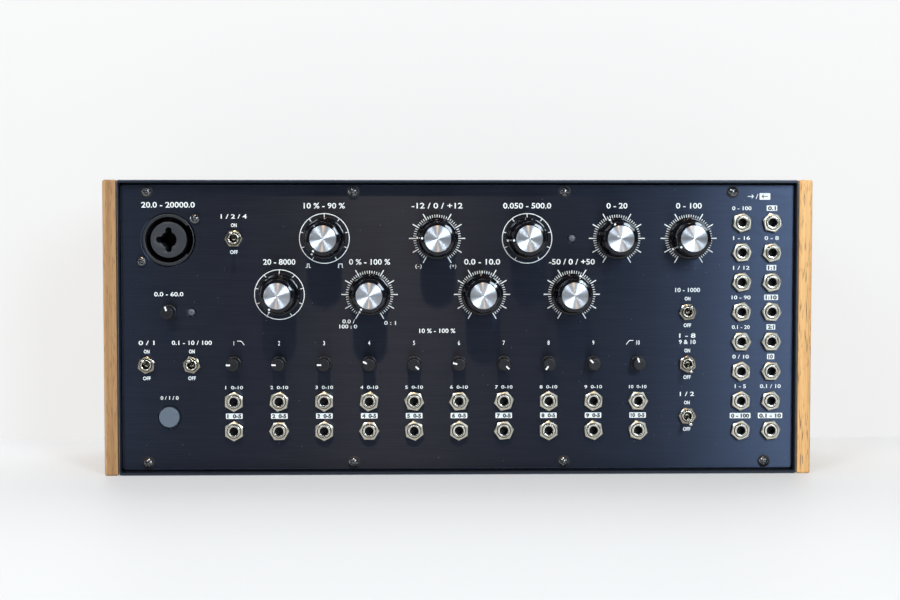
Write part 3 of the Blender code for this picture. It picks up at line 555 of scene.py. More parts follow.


# Both boards are one wood: the left board's darker tones are painted shade and the right board's paler
# tones painted light, for the window on the right.
WOOD = {"left": wood_finish("shaded_left_wood", (0.49, 0.285, 0.127), (0.34, 0.175, 0.070), 0.65),
        "right": wood_finish("lit_right_wood", (0.80, 0.475, 0.185), (0.56, 0.285, 0.095), 0.9)}
BLACK_STEEL = plain_finish("black_screw", (0.012, 0.012, 0.016), grain=3500.0, bump=0.004,
                           roughness=0.17, vary=0.04, IOR=2.1)
for side, name in ((-1, "left"), (1, "right")):
    low, high = corners(f"{name}_cheek")
    middle = (low + high) / 2
    face, half_depth, half_height = (high - low) / 2

    def on_cheek(points):
        """World places of (depth, height, w) on a cheek: w runs outwards from its middle."""
        return (middle + np.stack([side * points[:, 2], points[:, 0], points[:, 1]], -1)) * MM

    board = piece(f"{name}_cheek_board", [slab((0.0, 0.0), half_depth, half_height, -face, face,
                                               CHEEK_ROUND, CHEEK_ROUND)],
                  WOOD[name], "case", [f"{name}_cheek"], place=on_cheek)
    seats = [(-half_depth + CHEEK_SCREW_IN, 0.0), (half_depth - CHEEK_SCREW_IN, 0.0)]
    floor = face - SEAT_DEPTH
    well = [(0.0, floor), (SEAT_RADIUS, floor), (SEAT_RADIUS, face + 1), (0.0, face + 1)]
    cut(board, [turned(well, 64, center=seat) for seat in seats], on_cheek)
    piece(f"{name}_cheek_screws",
          [screw_head(HEAD_RADIUS, HEAD_HEIGHT, floor + 0.05, 0.5 + n, seat, 1.6, 3.0)
           for n, seat in enumerate(seats)], BLACK_STEEL, "case", place=on_cheek)


# Front panel: a 2 mm aluminium plate, brushed along its length and anodised black, drilled for
# every control. What turns is found by its joint; the other columns stand in rack units, and the
# rows are measured from the panel's edges.
HP = 5.08
HALF_U, _, HALF_V = (PANEL_HIGH - PANEL_LOW) / 2
# The last width on this line is that of the painted highlight along the panel's edges.
PANEL_T, PANEL_CORNER, PANEL_EDGE, PANEL_HIGHLIGHT_WIDTH = 2.0, 1.0, 0.3, 0.45
SEVEN_OCLOCK = 240.0
HINGES = {joint["child"]: joint for joint in frame["joints"] if joint["type"] == "hinge"}
PLACES = {name: (joint["pos_m"][0] / MM, joint["pos_m"][2] / MM - PANEL_Z)
          for name, joint in HINGES.items()}
RESTS = {name: math.radians(SEVEN_OCLOCK + joint["range_deg"][0]) for name, joint in HINGES.items()}
LARGE_KNOBS = [name for name in HINGES if name.endswith("_knob") and name != "input_gain_knob"]
SMALL_KNOBS = ["input_gain_knob"] + [f"band_knob_{n}" for n in range(1, 11)]
LEVERS = [name for name in HINGES if name.endswith("_lever")]
LEFT_U, GAIN_V = PLACES["input_gain_knob"]
BAND_U = [PLACES[name][0] for name in SMALL_KNOBS[1:]]
BAND_V = PLACES["band_knob_1"][1]
JACK_V = (30.85 - HALF_V, 17.45 - HALF_V)
BAND_JACKS = [(u, v) for v in JACK_V for u in BAND_U]
PATCH_U = (HALF_U - 4.7 * HP, HALF_U - 2 * HP)
PATCH_V = np.linspace(HALF_V - 16.95, 17.2 - HALF_V, 8)
PATCH_JACKS = [(u, v) for u in PATCH_U for v in PATCH_V]
SCREWS = [(u, side * (HALF_V - 3.0)) for side, last in ((1, 5.53), (-1, 2.56))
          for u in (2.3 * HP - HALF_U, -9.38 * HP, 9.38 * HP, HALF_U - last * HP)]
SOCKET = (LEFT_U, HALF_V - 24.65)
SOCKET_SCREWS = [(SOCKET[0] + side * 12.0, SOCKET[1] + side * 9.5) for side in (1, -1)]
BUTTON = (LEFT_U, 23.85 - HALF_V)
LAMPS = [(LEFT_U + 2 * HP, GAIN_V), (PLACES["amount_knob"][0], PLACES["decay_knob"][1])]


def circle(center, radius, points=48):
    """Points of a circle."""
    angle = np.arange(points) * 2 * math.pi / points
    return np.stack([center[0] + radius * np.cos(angle), center[1] + radius * np.sin(angle)], -1)


def points_of(mesh):
    """The points of a mesh, one row for each."""
    points = np.empty(len(mesh.vertices) * 3)
    mesh.vertices.foreach_get("co", points)
    return points.reshape(-1, 3)


def curve_shape(data):
    """(points, faces) of a curve or a line of text, which is taken away again."""
    holder = in_scene("curve", data)
    mesh = final_mesh(holder)
    bpy.data.objects.remove(holder)
    bpy.data.curves.remove(data)
    shape = points_of(mesh), [list(face.vertices) for face in mesh.polygons]
    bpy.data.meshes.remove(mesh)
    return shape


def plate(outline, holes, low, high, edge):
    """(points, faces) of a flat plate with holes: a filled curve, extruded, with eased edges."""
    data = bpy.data.curves.new("plate", "CURVE")
    data.dimensions = "2D"
    data.fill_mode = "BOTH"
    for loop in [outline, *holes]:
        spline = data.splines.new("POLY")
        spline.points.add(len(loop) - 1)
        flat = np.column_stack([loop, np.zeros(len(loop)), np.ones(len(loop))])
        spline.points.foreach_set("co", flat.ravel())
        spline.use_cyclic_u = True
    data.extrude = (high - low) / 2 - edge
    data.bevel_depth = edge
    data.bevel_resolution = 1
    data.offset = -edge
    points, faces = curve_shape(data)
    return points + (0.0, 0.0, (low + high) / 2), faces


def panel_finish():
    """Brushed black anodising: fine scratches along the panel spread reflections up and down,
    the dye tints them blue, a few specks of dust lie on it, and a lighter blue-grey along its
    edges is a painted highlight."""
    made, tree, shader = new_material("panel_black", Anisotropic=1.0, IOR=1.6,
                                      Specular_Tint=(0.48, 0.615, 1.0))
    coords = object_place(tree)
    streaks = noise(tree, coords, stretch=(45.0, 45.0, 5200.0), Detail=3.0, Roughness=0.7)
    broad = noise(tree, coords, stretch=(14.0, 14.0, 700.0), Detail=4.0)
    tone = ramp(tree, streaks, 0.36, (0.0003, 0.0003, 0.0005), 0.70, (0.0085, 0.0092, 0.012))
    specks = add(tree, "TexVoronoi", Vector=coords, Scale=260.0).outputs
    picked = add(tree, "TexWhiteNoise", Vector=specks["Position"]).outputs["Value"]
    dust = reckon(tree, "MULTIPLY", reckon(tree, "LESS_THAN", specks["Distance"], 0.04),
                  reckon(tree, "LESS_THAN", picked, 0.5), 0.35)
    dusty = blend(tree, dust, tone, (0.45, 0.46, 0.5))
    painted_highlight = wear_mask(tree, (0.0, 0.0, PANEL_Z), HALF_U, HALF_V, PANEL_HIGHLIGHT_WIDTH)
    grooves = add(tree, "Bump", Strength=0.5, Distance=0.01 * MM, Height=streaks)
    tangent = add(tree, "Tangent", settings={"direction_type": "UV_MAP", "uv_map": "across_grain"})
    # Painted highlight: the panel's edges are a lighter blue-grey.
    feed(shader, Base_Color=blend(tree, painted_highlight, dusty, (0.055, 0.075, 0.125)),
         Roughness=spread(tree, reckon(tree, "ADD", broad, streaks), 0.335, 0.405, 0.66, 1.34),
         Normal=grooves.outputs[0], Tangent=tangent.outputs[0])
    return made


def panel_holes():
    """Every drilled hole of the panel, by kinds of one radius."""
    kinds = ((3.3, BAND_JACKS + PATCH_JACKS), (2.85, [PLACES[name] for name in LEVERS]),
             (3.5, [PLACES[name] for name in LARGE_KNOBS]),
             (2.85, [PLACES[name] for name in SMALL_KNOBS]), (1.55, SCREWS + SOCKET_SCREWS),
             (1.85, LAMPS))
    holes = [circle(place, radius) for radius, places in kinds for place in places]
    return holes + [circle(BUTTON, 4.95, 96), circle(SOCKET, 12.0, 144)]


def corner_points(mesh):
    """The mesh's points, one row for each corner of each face."""
    corner = np.empty(len(mesh.loops), int)
    mesh.loops.foreach_get("vertex_index", corner)
    return points_of(mesh)[corner]


panel_outline = rounded_rectangle(HALF_U, HALF_V, PANEL_CORNER)
panel = piece("panel_plate", [plate(panel_outline, panel_holes(), -PANEL_T, 0.0, PANEL_EDGE)],
              panel_finish(), "case", ["front_panel"], sharp=12.0)
across_grain = corner_points(panel.data)[:, [2, 0]] * 3 + 0.5
panel.data.uv_layers.new(name="across_grain").data.foreach_set("uv", across_grain.ravel())


# Printing: white screen-printed ink on the panel, 0.02 mm thick: dial scales, plain numbers and
# ranges, ON and OFF, signs for pulses and shelves, and solid labels with dark figures.
INK, INK_BASE = 0.02, 0.004
FIGURE_HEIGHT, FIGURE_SQUEEZE = 0.73, 0.72
SCALE_R, RING_WIDTH = 11.2, 0.36
CIRCLE_SCALES = ("pulse_width_knob", "frequency_knob", "rate_knob")
CIRCLE_STEPS = 37.5 * np.arange(1, 5)
MAJOR = [-60, -30, 0, 30, 60, 120, 150, 180, 210, 240]
MINOR = [d for d in range(-60, 241, 6) if d not in MAJOR + [90]]
# Marks round a knob: their degrees, their inner and outer radii, and their width.
CIRCLE_MARKS = ((np.append(90 + CIRCLE_STEPS, 90 - CIRCLE_STEPS), 9.75, SCALE_R - 0.17, 0.36),
                ([90], 9.2, SCALE_R - 0.17, 0.4))
FAN_MARKS = ((MAJOR, 9.3, 12.7, 0.45), (MINOR, 9.2, 10.75, 0.3), ([90], 9.2, 10.75, 0.42))
# Heights of figures, how far they stand over their control, and the solid labels' height.
KNOB_FIGURE, KNOB_RISE = 2.55, 14.8
SWITCH_FIGURE, SWITCH_RISE = 1.95, 9.95
STATE_FIGURE, STATE_WEIGHT = 1.65, 0.03
BAND_FIGURE, BAND_RISE = 2.0, 9.4
JACK_FIGURE, JACK_RISE = 1.75, 6.55
DARK_FIGURE, DARK_WEIGHT, LABEL_HEIGHT = 1.7, 0.055, 2.45
KNOB_FIGURES = {"pulse_width_knob": ("10 % - 90 %", 18.5), "shift_knob": ("-12 / 0 / +12", 23.0),
                "rate_knob": ("0.050 - 500.0", 21.7), "decay_knob": ("0 - 20", 9.5),
                "volume_knob": ("0 - 100", 11.7), "frequency_knob": ("20 - 8000", 14.5),
                "mix_knob": ("0 % - 100 %", 18.5), "resonance_knob": ("0.0 - 10.0", 16.3),
                "amount_knob": ("-50 / 0 / +50", 20.8)}
END_SIGNS = (("shift_knob", "(-)", (-8.4, -12.4), 1.7, 2.9, 0.0),
             ("shift_knob", "(+)", (7.2, -12.4), 1.7, 2.9, 0.0),
             ("mix_knob", "0.0 /", (-9.5, -12.1), 1.75, 5.6),
             ("mix_knob", "100 : 0", (-9.7, -14.4), 1.75, 8.0),
             ("mix_knob", "0 : 1", (9.2, -12.8), 1.75, 5.3))
SWITCH_FIGURES = {"sync_toggle_lever": ("1 / 2 / 4", 11.7), "hold_toggle_lever": ("0 / 1", 7.2),
                  "carrier_toggle_lever": ("0.1 - 10 / 100", 18.0),
                  "amplifier_toggle_lever": ("10 - 1000", 11.3), "band_toggle_lever": ("9 & 10", 7.6),
                  "mode_toggle_lever": ("1 / 2", 6.5)}
PATCH_FIGURES = ((("0 - 100", 8.8), ("1 - 16", 7.7), ("1 / 12", 7.5), ("10 - 90", 8.6),
                  ("0.1 - 20", 8.1), ("0 / 10", 7.5), ("1 - 5", 5.1), ("0 - 100", 9.5)),
                 (("0.1", 4.8), ("0 - 8", 6.5), ("1:1", 4.4), ("1:10", 6.3), ("2:1", 4.0), ("10", 3.3),
                  ("0.1 / 10", 9.5), ("0.1 - 10", 11.2)))
SOLID_LABELS = ((0, 7), (1, 0), (1, 2), (1, 3), (1, 4), (1, 5), (1, 7))


def strokes(starts, ends, width):
    """(points, faces) of straight ink lines: each is a flat bar from its start to its end, half
    the width to either side of the line."""
    along = ends - starts
    along /= np.linalg.norm(along, axis=1)[:, None]
    across = np.stack([-along[:, 1], along[:, 0]], -1) * width / 2
    outline = np.stack([starts + across, starts - across, ends - across, ends + across], 1)
    levels = [np.concatenate([outline, np.full(outline.shape[:2] + (1,), w)], -1)
              for w in (INK_BASE, INK)]
    box = np.array([[0, 3, 2, 1], [4, 5, 6, 7], [0, 1, 5, 4], [1, 2, 6, 5], [2, 3, 7, 6], [3, 0, 4, 7]])
    faces = (box[None] + np.arange(len(starts))[:, None, None] * 8).reshape(-1, 4)
    return np.concatenate(levels, 1).reshape(-1, 3), faces.tolist()


def line(path, width):
    """(points, faces) of a bent ink line: at each point of the path its two edges lie half the
    width away along the bisector of the bend, lengthened so that the line keeps its width."""
    path = np.array(path, float)
    along = np.diff(path, axis=0)
    along /= np.linalg.norm(along, axis=1)[:, None]
    before, after = np.vstack([along[:1], along]), np.vstack([along, along[-1:]])
    normal = before + after
    normal = np.stack([-normal[:, 1], normal[:, 0]], -1) / np.linalg.norm(normal, axis=1)[:, None]
    side = np.stack([-after[:, 1], after[:, 0]], -1)
    reach = (width / 2 / np.sum(normal * side, axis=1))[:, None] * normal
    rings = [np.column_stack([path + way * reach, np.full(len(path), w)])
             for way, w in ((1, INK_BASE), (-1, INK_BASE), (-1, INK), (1, INK))]
    return skin(np.stack(rings, 1))


def rays(center, degrees, inner, outer, width):
    """Strokes that point to a centre, from the inner to the outer radius."""
    angle = np.radians(degrees)
    way = np.stack([np.cos(angle), np.sin(angle)], -1)
    return strokes(center + way * inner, center + way * outer, width)


def ink_ring(center, radius, width):
    """A printed circle: a flat ring, its section a thin rectangle."""
    inner, outer = radius - width / 2, radius + width / 2
    return turned([(inner, INK_BASE), (outer, INK_BASE), (outer, INK), (inner, INK)], 128,
                  closed=True, center=center)


def lettering(text, place, shift, height, width=None, weight=0.015, lift=0.0):
    """(points, faces) of a line of plain sans figures, shifted from a place: capitals of the
    given height, and the whole line squeezed to the given width."""
    data = bpy.data.curves.new("lettering", "FONT")
    data.body = text
    data.size = 1.0
    data.offset = weight
    data.extrude = 0.5
    data.resolution_u = 3
    points, faces = curve_shape(data)
    left, right = points[:, 0].min(), points[:, 0].max()
    size = height / FIGURE_HEIGHT
    squeeze = width / (right - left) if width else FIGURE_SQUEEZE * size
    return np.stack([(points[:, 0] - (left + right) / 2) * squeeze + place[0] + shift[0],
                     (points[:, 1] - FIGURE_HEIGHT / 2) * size + place[1] + shift[1],
                     np.where(points[:, 2] > 0, INK, INK_BASE) + lift], -1), faces


def solid_label(center, width, height=LABEL_HEIGHT):
    """A solid printed label with slightly rounded corners."""
    return slab(center, width / 2, height / 2, INK_BASE, INK, 0.3, 0.004)


def printed_scales():
    """A circle with nine inward marks round three knobs, a fan of marks round the others."""
    parts = []
    for name in LARGE_KNOBS:
        if name in CIRCLE_SCALES:
            parts.append(ink_ring(PLACES[name], SCALE_R, RING_WIDTH))
        marks = CIRCLE_MARKS if name in CIRCLE_SCALES else FAN_MARKS
        parts += [rays(np.array(PLACES[name]), *mark) for mark in marks]
    return parts


def knob_labels():
    """The figures over the large knobs and their end signs."""
    parts = [lettering(text, PLACES[name], (0.0, KNOB_RISE), KNOB_FIGURE, width)
             for name, (text, width) in KNOB_FIGURES.items()]
    u, v = PLACES["pulse_width_knob"]
    for shift, top in ((-7.3, 0.45), (7.2, 0.8)):
        path = [(-1.15, 0), (-top, 0), (-top, 1.6), (top, 1.6), (top, 0), (1.15, 0)]
        parts.append(line(np.array(path) + (u + shift, v - 13.1), 0.36))
    return parts + [lettering(text, PLACES[name], *sign) for name, text, *sign in END_SIGNS]


def switch_labels():
    """The figures over the switches, ON and OFF, and the figures round the left column."""
    parts = []
    for name, (text, width) in SWITCH_FIGURES.items():
        place = PLACES[name]
        parts += [lettering(text, place, (0.0, SWITCH_RISE), SWITCH_FIGURE, width),
                  lettering("ON", place, (0.0, 6.0), STATE_FIGURE, 2.6, STATE_WEIGHT),
                  lettering("OFF", place, (0.0, -6.1), STATE_FIGURE, 3.4, STATE_WEIGHT)]
    return parts + [
        lettering("1 - 8", PLACES["band_toggle_lever"], (0.0, 12.8), SWITCH_FIGURE, 7.4),
        lettering("20.0 - 20000.0", SOCKET, (0.0, 15.8), KNOB_FIGURE, 23.9),
        lettering("0.0 - 60.0", (LEFT_U, GAIN_V), (0.0, 8.2), SWITCH_FIGURE, 13.1),
        lettering("0 / 1 / 0", BUTTON, (0.0, 8.7), 1.6, 8.1)]


def jack_labels():
    """The band numbers with their shelf signs, the figures of the jacks and the solid labels,
    and apart from them what is printed dark on the labels."""
    parts, dark = [], []
    for n, u in enumerate(BAND_U, 1):
        middle = (u, sum(JACK_V) / 2)
        parts += [lettering(str(n), (u, BAND_V), (0.0, BAND_RISE), BAND_FIGURE),
                  lettering(f"{n}  0-10", (u, JACK_V[0]), (0.0, 6.3), 1.5, 8.0),
                  solid_label(middle, 7.5)]
        dark.append(lettering(f"{n}  0-5", middle, (0.0, 0.0), DARK_FIGURE, 6.4, DARK_WEIGHT, INK))
    shelf = np.array([(1.5, 0.9), (3.0, 0.9), (3.6, 0.6), (4.7, -0.9)])
    parts += [line(shelf + (BAND_U[0], BAND_V + BAND_RISE), 0.3),
              line(shelf * (-1, 1) + (BAND_U[9] - 0.6, BAND_V + BAND_RISE), 0.3),
              lettering("10 % - 100 %", (-9.8, BAND_V), (0.0, 14.9), BAND_FIGURE, 16.3)]
    for column, u in enumerate(PATCH_U):
        for row, v in enumerate(PATCH_V):
            text, width = PATCH_FIGURES[column][row]
            if (column, row) in SOLID_LABELS:
                parts.append(solid_label((u, v + JACK_RISE), width))
                dark.append(lettering(text, (u, v), (0.0, JACK_RISE), DARK_FIGURE, width - 1.1,
                                      DARK_WEIGHT, INK))
            else:
                parts.append(lettering(text, (u, v), (0.0, JACK_RISE), JACK_FIGURE, width))
    u, v = sum(PATCH_U) / 2, HALF_V - 5.1
    head, stem = np.array([(0.5, 0.8), (1.3, 0.0), (0.5, -0.8)]), np.array([(-1.3, 0.0), (0.95, 0.0)])
    parts += [line(stem + (u - 2.9, v), 0.36), line(head + (u - 2.9, v), 0.36),
              line([(u - 0.4, v - 1.1), (u + 0.4, v + 1.1)], 0.3), solid_label((u + 3.6, v), 4.9, 3.0)]
    arrow = [line(path * (-1, 1), 0.36) for path in (stem, head)]
    return parts, dark + [moved(part, (u + 3.6, v), rise=INK) for part in arrow]


# Matt inks, with the slight unevenness of a screen print.
WHITE_INK, DARK_INK = (plain_finish(name, colour, grain=4000.0, bump=0.002, roughness=0.5, vary=0.06)
                       for name, colour in (("white_ink", (0.80, 0.83, 0.83)),
                                            ("dark_ink", (0.020, 0.024, 0.034))))
jack_print, dark_print = jack_labels()
piece("panel_print", printed_scales() + knob_labels() + switch_labels() + jack_print, WHITE_INK,
      "case")
piece("panel_print_dark", dark_print, DARK_INK, "case")


# Panel screws: black pan-head machine screws with a cross recess, eight along the panel's edges
# and two that hold the input socket. Thin black washers lie under the eight.
SCREW_RADIUS, SCREW_HEIGHT = 2.3, 1.6
WASHER_RADIUS, WASHER_BORE, WASHER_TOP = 2.85, 1.5, 0.3
SCREW_TURNS = (0.3, 1.1, 0.7, 0.1, 0.9, 0.5, 1.4, 0.2, 0.8, 0.45)
# Dull black, for washers, bores and what lies deep inside, and for the painted shade at the foot of each
# jack's gap between sleeve and nut.
BORE_BLACK = plain_finish("bore_black", (0.004, 0.004, 0.005), grain=900.0, bump=0.01,
                          roughness=0.6, vary=0.05)


def washer(center):
    """(points, faces) of a flat washer with a rounded rim."""
    rim = arc((WASHER_RADIUS, WASHER_TOP - 0.15), (WASHER_RADIUS - 0.15, WASHER_TOP), 0, 3)
    return turned([(WASHER_BORE, 0.01), (WASHER_RADIUS, 0.01), *rim, (WASHER_BORE, WASHER_TOP)], 64,
                  closed=True, center=center)


SCREW_NODES = [f"panel_screw_{n}" for n in range(1, 9)] + ["socket_screw_1", "socket_screw_2"]
for node, place, turn in zip(SCREW_NODES, SCREWS + SOCKET_SCREWS, SCREW_TURNS):
    piece(node + "_head", [screw_head(SCREW_RADIUS, SCREW_HEIGHT, WASHER_TOP, turn, place)],
          BLACK_STEEL, "case", [node])
piece("screw_washers", [washer(place) for place in SCREWS], BORE_BLACK, "case")


# Large knobs: moulded glossy black, a flared skirt under an eight-sided soft grip, a white mark
# down the side, and a disc of spun aluminium let into the top.
SHAFT_R, SHAFT_FOOT = 2.2, -7.0
KNOB_TOP, INLAY_R = 15.9, 5.9
GRIP_SIDES, GRIP_POWER, GRIP_FROM = 8, 18, 4.0
BEVEL_SLOPE, BEVEL_HIGH, BEVEL_WIDTH = 0.27, 15.75, 1.2
KNOB_POINTS = 192
# The strips of the mark: radius, rough height, half length and half width.
MARK_STRIPS = ((6.95, 15.6, 0.42, 0.42), (8.0, 3.2, 0.2, 0.3), (8.95, 3.2, 0.45, 0.45))
MARK_SUNK, MARK_PROUD = 0.25, 0.05


def spun_metal():
    """Spun aluminium: the lathe left fine rings, so reflections spread along the radius. The
    piece's map runs from the centre outwards in U and round the disc in V."""
    made, tree, shader = new_material("spun_aluminium", Metallic=1.0, Anisotropic=1.0)
    tangent = add(tree, "Tangent", settings={"direction_type": "UV_MAP", "uv_map": "rings"})
    radial = add(tree, "SeparateXYZ", add(tree, "UVMap", settings={"uv_map": "rings"}).outputs[0])
    rings = add(tree, "TexNoise", settings={"noise_dimensions": "1D"}, W=radial.outputs[0],
                Scale=90.0, Detail=4.0).outputs["Fac"]
    feed(shader, Base_Color=ramp(tree, rings, 0.3, (0.60, 0.625, 0.68), 0.7, (0.71, 0.745, 0.81)),
         Roughness=spread(tree, rings, 0.38, 0.43), Tangent=tangent.outputs[0])
    return made


def knob_profile():
    """The half outline of a large knob from its shaft to the lip round the inlay: a straight
    skirt, a hollow flank, a slightly tapered grip with a tight round edge, and a bevel that
    rises at an even slope to the lip."""
    rows = [(0.0, SHAFT_FOOT), (SHAFT_R, SHAFT_FOOT), (SHAFT_R, 0.8), (9.2, 0.8)]
    rows += arc((9.2, 0.8), (9.5, 1.1), 1, 3)[1:]
    rows += [(9.5, 2.4)] + arc((9.5, 2.4), (9.0, 3.1), 0, 5)[1:]
    rows += arc((9.0, 3.1), (7.95, 5.0), 1, 8)[1:]
    rows += [(7.92, 6.0), (7.88, 8.0), (7.84, 11.0), (7.8, 14.3)]
    rows += arc((7.8, 14.3), (7.35, BEVEL_HIGH - BEVEL_WIDTH * BEVEL_SLOPE), 0, 7)[1:]
    bevel = np.linspace(BEVEL_WIDTH, 0.0, 9)[1:]
    return rows + [(6.15 + t, BEVEL_HIGH - BEVEL_SLOPE * t) for t in bevel]


def soft_octagon(angle, radius, height):
    """Draws the grip in to eight faces with rounded corners: the reach in a direction is one over
    the power mean of its cosines to the eight face normals, scaled to 1 on the corners, and the
    effect fades out towards the skirt and towards the crown's inner edge. Where the bevel is
    drawn in it rises by its own slope, so that it stays one cone. A small hollow under each face
    runs on into the skirt."""
    sector = 2 * math.pi / GRIP_SIDES
    faces = (np.arange(GRIP_SIDES) + 0.5) * sector
    cosines = np.clip(np.cos(angle[..., None] - faces), 0, None) ** GRIP_POWER
    reach = cosines.sum(-1) ** (-1 / GRIP_POWER)
    corner = (2 * math.cos(sector / 2) ** GRIP_POWER) ** (-1 / GRIP_POWER)
    above = np.clip((height - GRIP_FROM) / 1.2, 0, 1)
    inside = np.clip((radius - 6.25) / 1.2, 0, 1)
    smooth = above * inside ** 2 * (3 - 2 * inside)
    off = (np.mod(angle, sector) - sector / 2) / math.radians(3.8)
    hollow = 0.2 * np.exp(-off ** 2) * np.exp(-((height - 3.0) / 0.45) ** 2)
    drawn_in = radius * smooth * (1 - reach / corner)
    lifted = height + drawn_in * BEVEL_SLOPE * np.clip((height - 14.3) / 1.1, 0, 1)
    return radius - drawn_in - hollow * (radius > 6.5), lifted


def knob_marks(profile):
    """The white mark of a knob: three short strips that follow the profile, a little proud, on
    the crown, on the flank and on the skirt."""
    path = np.array(profile[4:])
    reach = np.concatenate([[0.0], np.cumsum(np.linalg.norm(np.diff(path, axis=0), axis=1))])
    parts = []
    for radius, height, half_length, half_width in MARK_STRIPS:
        nearest = np.argmin(abs(path[:, 0] - radius) + 0.02 * abs(path[:, 1] - height))
        run = np.linspace(reach[nearest] - half_length, reach[nearest] + half_length, 5)
        rows = np.stack([np.interp(run, reach, path[:, 0]), np.interp(run, reach, path[:, 1])], -1)
        slope = np.gradient(rows, axis=0)
        slope /= np.linalg.norm(slope, axis=1)[:, None]
        out = np.stack([slope[:, 1], -slope[:, 0]], -1)
        loop = np.concatenate([rows - MARK_SUNK * out, (rows + MARK_PROUD * out)[::-1]])
        parts.append(skin([np.column_stack([loop[:, 0], np.full(len(loop), across), loop[:, 1]])
                           for across in (-half_width, half_width)]))
    return parts


def inlay_disc():
    """The spun disc: flat, with a narrow bright chamfer."""
    profile = [(0.0, 14.9), (INLAY_R - 0.05, 14.9), (INLAY_R, 15.0), (INLAY_R, 15.62),
               (INLAY_R - 0.25, KNOB_TOP - 0.02)]
    profile += [(radius, KNOB_TOP) for radius in (5.0, 4.0, 3.0, 2.0, 1.2, 0.7, 0.4, 0.2)]
    return turned(profile + [(0.0, KNOB_TOP - 0.02)], 96)


def map_rings(mesh, center):
    """Writes the rings map of an inlay: U is the distance from the centre in radii of the disc,
    V the turn, counted per face so that it doesn't jump back across the seam. A corner on the
    centre takes the mean turn of its face's other corners."""
    points = corner_points(mesh) / MM
    u, v = points[:, 0] - center[0], points[:, 2] - PANEL_Z - center[1]
    turn = np.mod(np.arctan2(v, u) / (2 * math.pi), 1.0)
    far = np.hypot(u, v) / INLAY_R
    outer = far > 1e-3
    total = np.empty(len(mesh.polygons), int)
    mesh.polygons.foreach_get("loop_total", total)
    owner = np.repeat(np.arange(len(total)), total)
    high = np.zeros(len(total))
    np.maximum.at(high, owner, np.where(outer, turn, 0.0))
    turn = np.where(high[owner] - turn > 0.5, turn + 1.0, turn)
    mean = np.bincount(owner, np.where(outer, turn, 0.0)) / np.maximum(np.bincount(owner, outer), 1)
    turn = np.where(outer, turn, mean[owner])
    mesh.uv_layers.new(name="rings").data.foreach_set("uv", np.column_stack([far, turn]).ravel())


GLOSS_BLACK = plain_finish("knob_gloss_black", (0.004, 0.004, 0.006), grain=900.0, bump=0.001,
                           roughness=0.05, vary=0.02, IOR=1.42)
MARKER = plain_finish("marker_white", (0.82, 0.84, 0.86), grain=2500.0, bump=0.01, roughness=0.35,
                      vary=0.05)
SPUN = spun_metal()
KNOB_PROFILE = knob_profile()
INLAY_WELL = [(6.02, 15.75), (6.0, 15.2), (0.0, 15.2)]
for name in LARGE_KNOBS:
    place, rest = PLACES[name], RESTS[name]
    cap = turned(KNOB_PROFILE + INLAY_WELL, KNOB_POINTS, soft_octagon)
    piece(name + "_cap", [moved(cap, place, rest)], GLOSS_BLACK, name, [name],
          sharp=50.0)
    piece(name + "_mark", [moved(part, place, rest) for part in knob_marks(KNOB_PROFILE)], MARKER,
          name)
    inlay = piece(name + "_inlay", [moved(inlay_disc(), place, rest)], SPUN, name,
                  sharp=20.0)
    map_rings(inlay.data, place)


# Small knobs: slim matte black rods with a low collar, pushed on to the shafts of the trimmers,
# each with a white line across the edge of its top.
PIN_R, PIN_TOP, PIN_SHAFT, PIN_FLUTES = 2.9, 7.3, 1.6, 18
FLUTE_FROM, FLUTE_DEPTH = 1.9, 0.06
MATTE_BLACK = plain_finish("knob_matte_black", (0.006, 0.006, 0.008), grain=1800.0, bump=0.01,
                           roughness=0.33, vary=0.05, IOR=1.42)
pin_profile = [(0.0, -7.0), (PIN_SHAFT, -7.0), (PIN_SHAFT, 0.4), (3.25, 0.4)]
pin_profile += arc((3.25, 0.4), (3.45, 0.6), 1, 2)[1:] + arc((3.45, 1.15), (3.2, 1.4), 0, 3)
pin_profile += arc((3.2, 1.4), (PIN_R, FLUTE_FROM), 1, 3)[1:]
pin_profile += arc((PIN_R - 0.05, PIN_TOP - 0.5), (PIN_R - 0.5, PIN_TOP), 0, 4)
pin_profile += [(1.6, PIN_TOP - 0.04), (0.0, PIN_TOP - 0.08)]


def fluted(angle, radius, height):
    """Shallow flutes up the rod's side: the radius dips by a cosine of the angle."""
    on_side = (height > FLUTE_FROM) & (height < PIN_TOP - 0.4)
    return radius - FLUTE_DEPTH * on_side * (0.5 + 0.5 * np.cos(PIN_FLUTES * angle)), height


for name in SMALL_KNOBS:
    place, rest = PLACES[name], RESTS[name]
    piece(name + "_cap", [moved(turned(pin_profile, 144, fluted), place, rest)], MATTE_BLACK, name,
          [name], sharp=50.0)
    marks = [slab((1.95, 0.0), 0.95, 0.36, PIN_TOP - 0.5, PIN_TOP + 0.03, 0.1, 0.02),
             slab((PIN_R - 0.35, 0.0), 0.38, 0.36, PIN_TOP - 2.2, PIN_TOP - 0.35, 0.05, 0.02)]
    piece(name + "_mark", [moved(mark, place, rest) for mark in marks], MARKER, name)


# Jacks: thirty-six 3.5 mm sockets on two boards behind the panel. Each has a bright sleeve with
# a black bore, held by a hexagonal nut of warm nickel that was tightened to its own angle.
NUT_AF, NUT_TOP, NUT_CROWN = 7.9, 2.3, 0.93
SLEEVE_R, SLEEVE_TOP, BORE_R, LIP_R = 3.0, 2.75, 1.98, 2.42
JACK_HALF_U, JACK_HALF_V = 4.5, 5.2
BOARD_W = (-13.6, -12.0)
BAND_TURNS = (30, 20, 30, 22, 50, 6, 12, 31, 24, 58, 30, 1, 30, 0, 37, 28, 7, 32, 38, 44)
PATCH_TURNS = (20, 5, 13, 15, 0, 24, 26, 19, 46, 15, 13, 55, 0, 58, 16, 9)


def nickel(name, colour, roughness):
    """Plated metal, slightly uneven under its shine."""
    return plain_finish(name, colour, grain=1500.0, bump=0.003, roughness=roughness, vary=0.04,
                        Metallic=1.0)


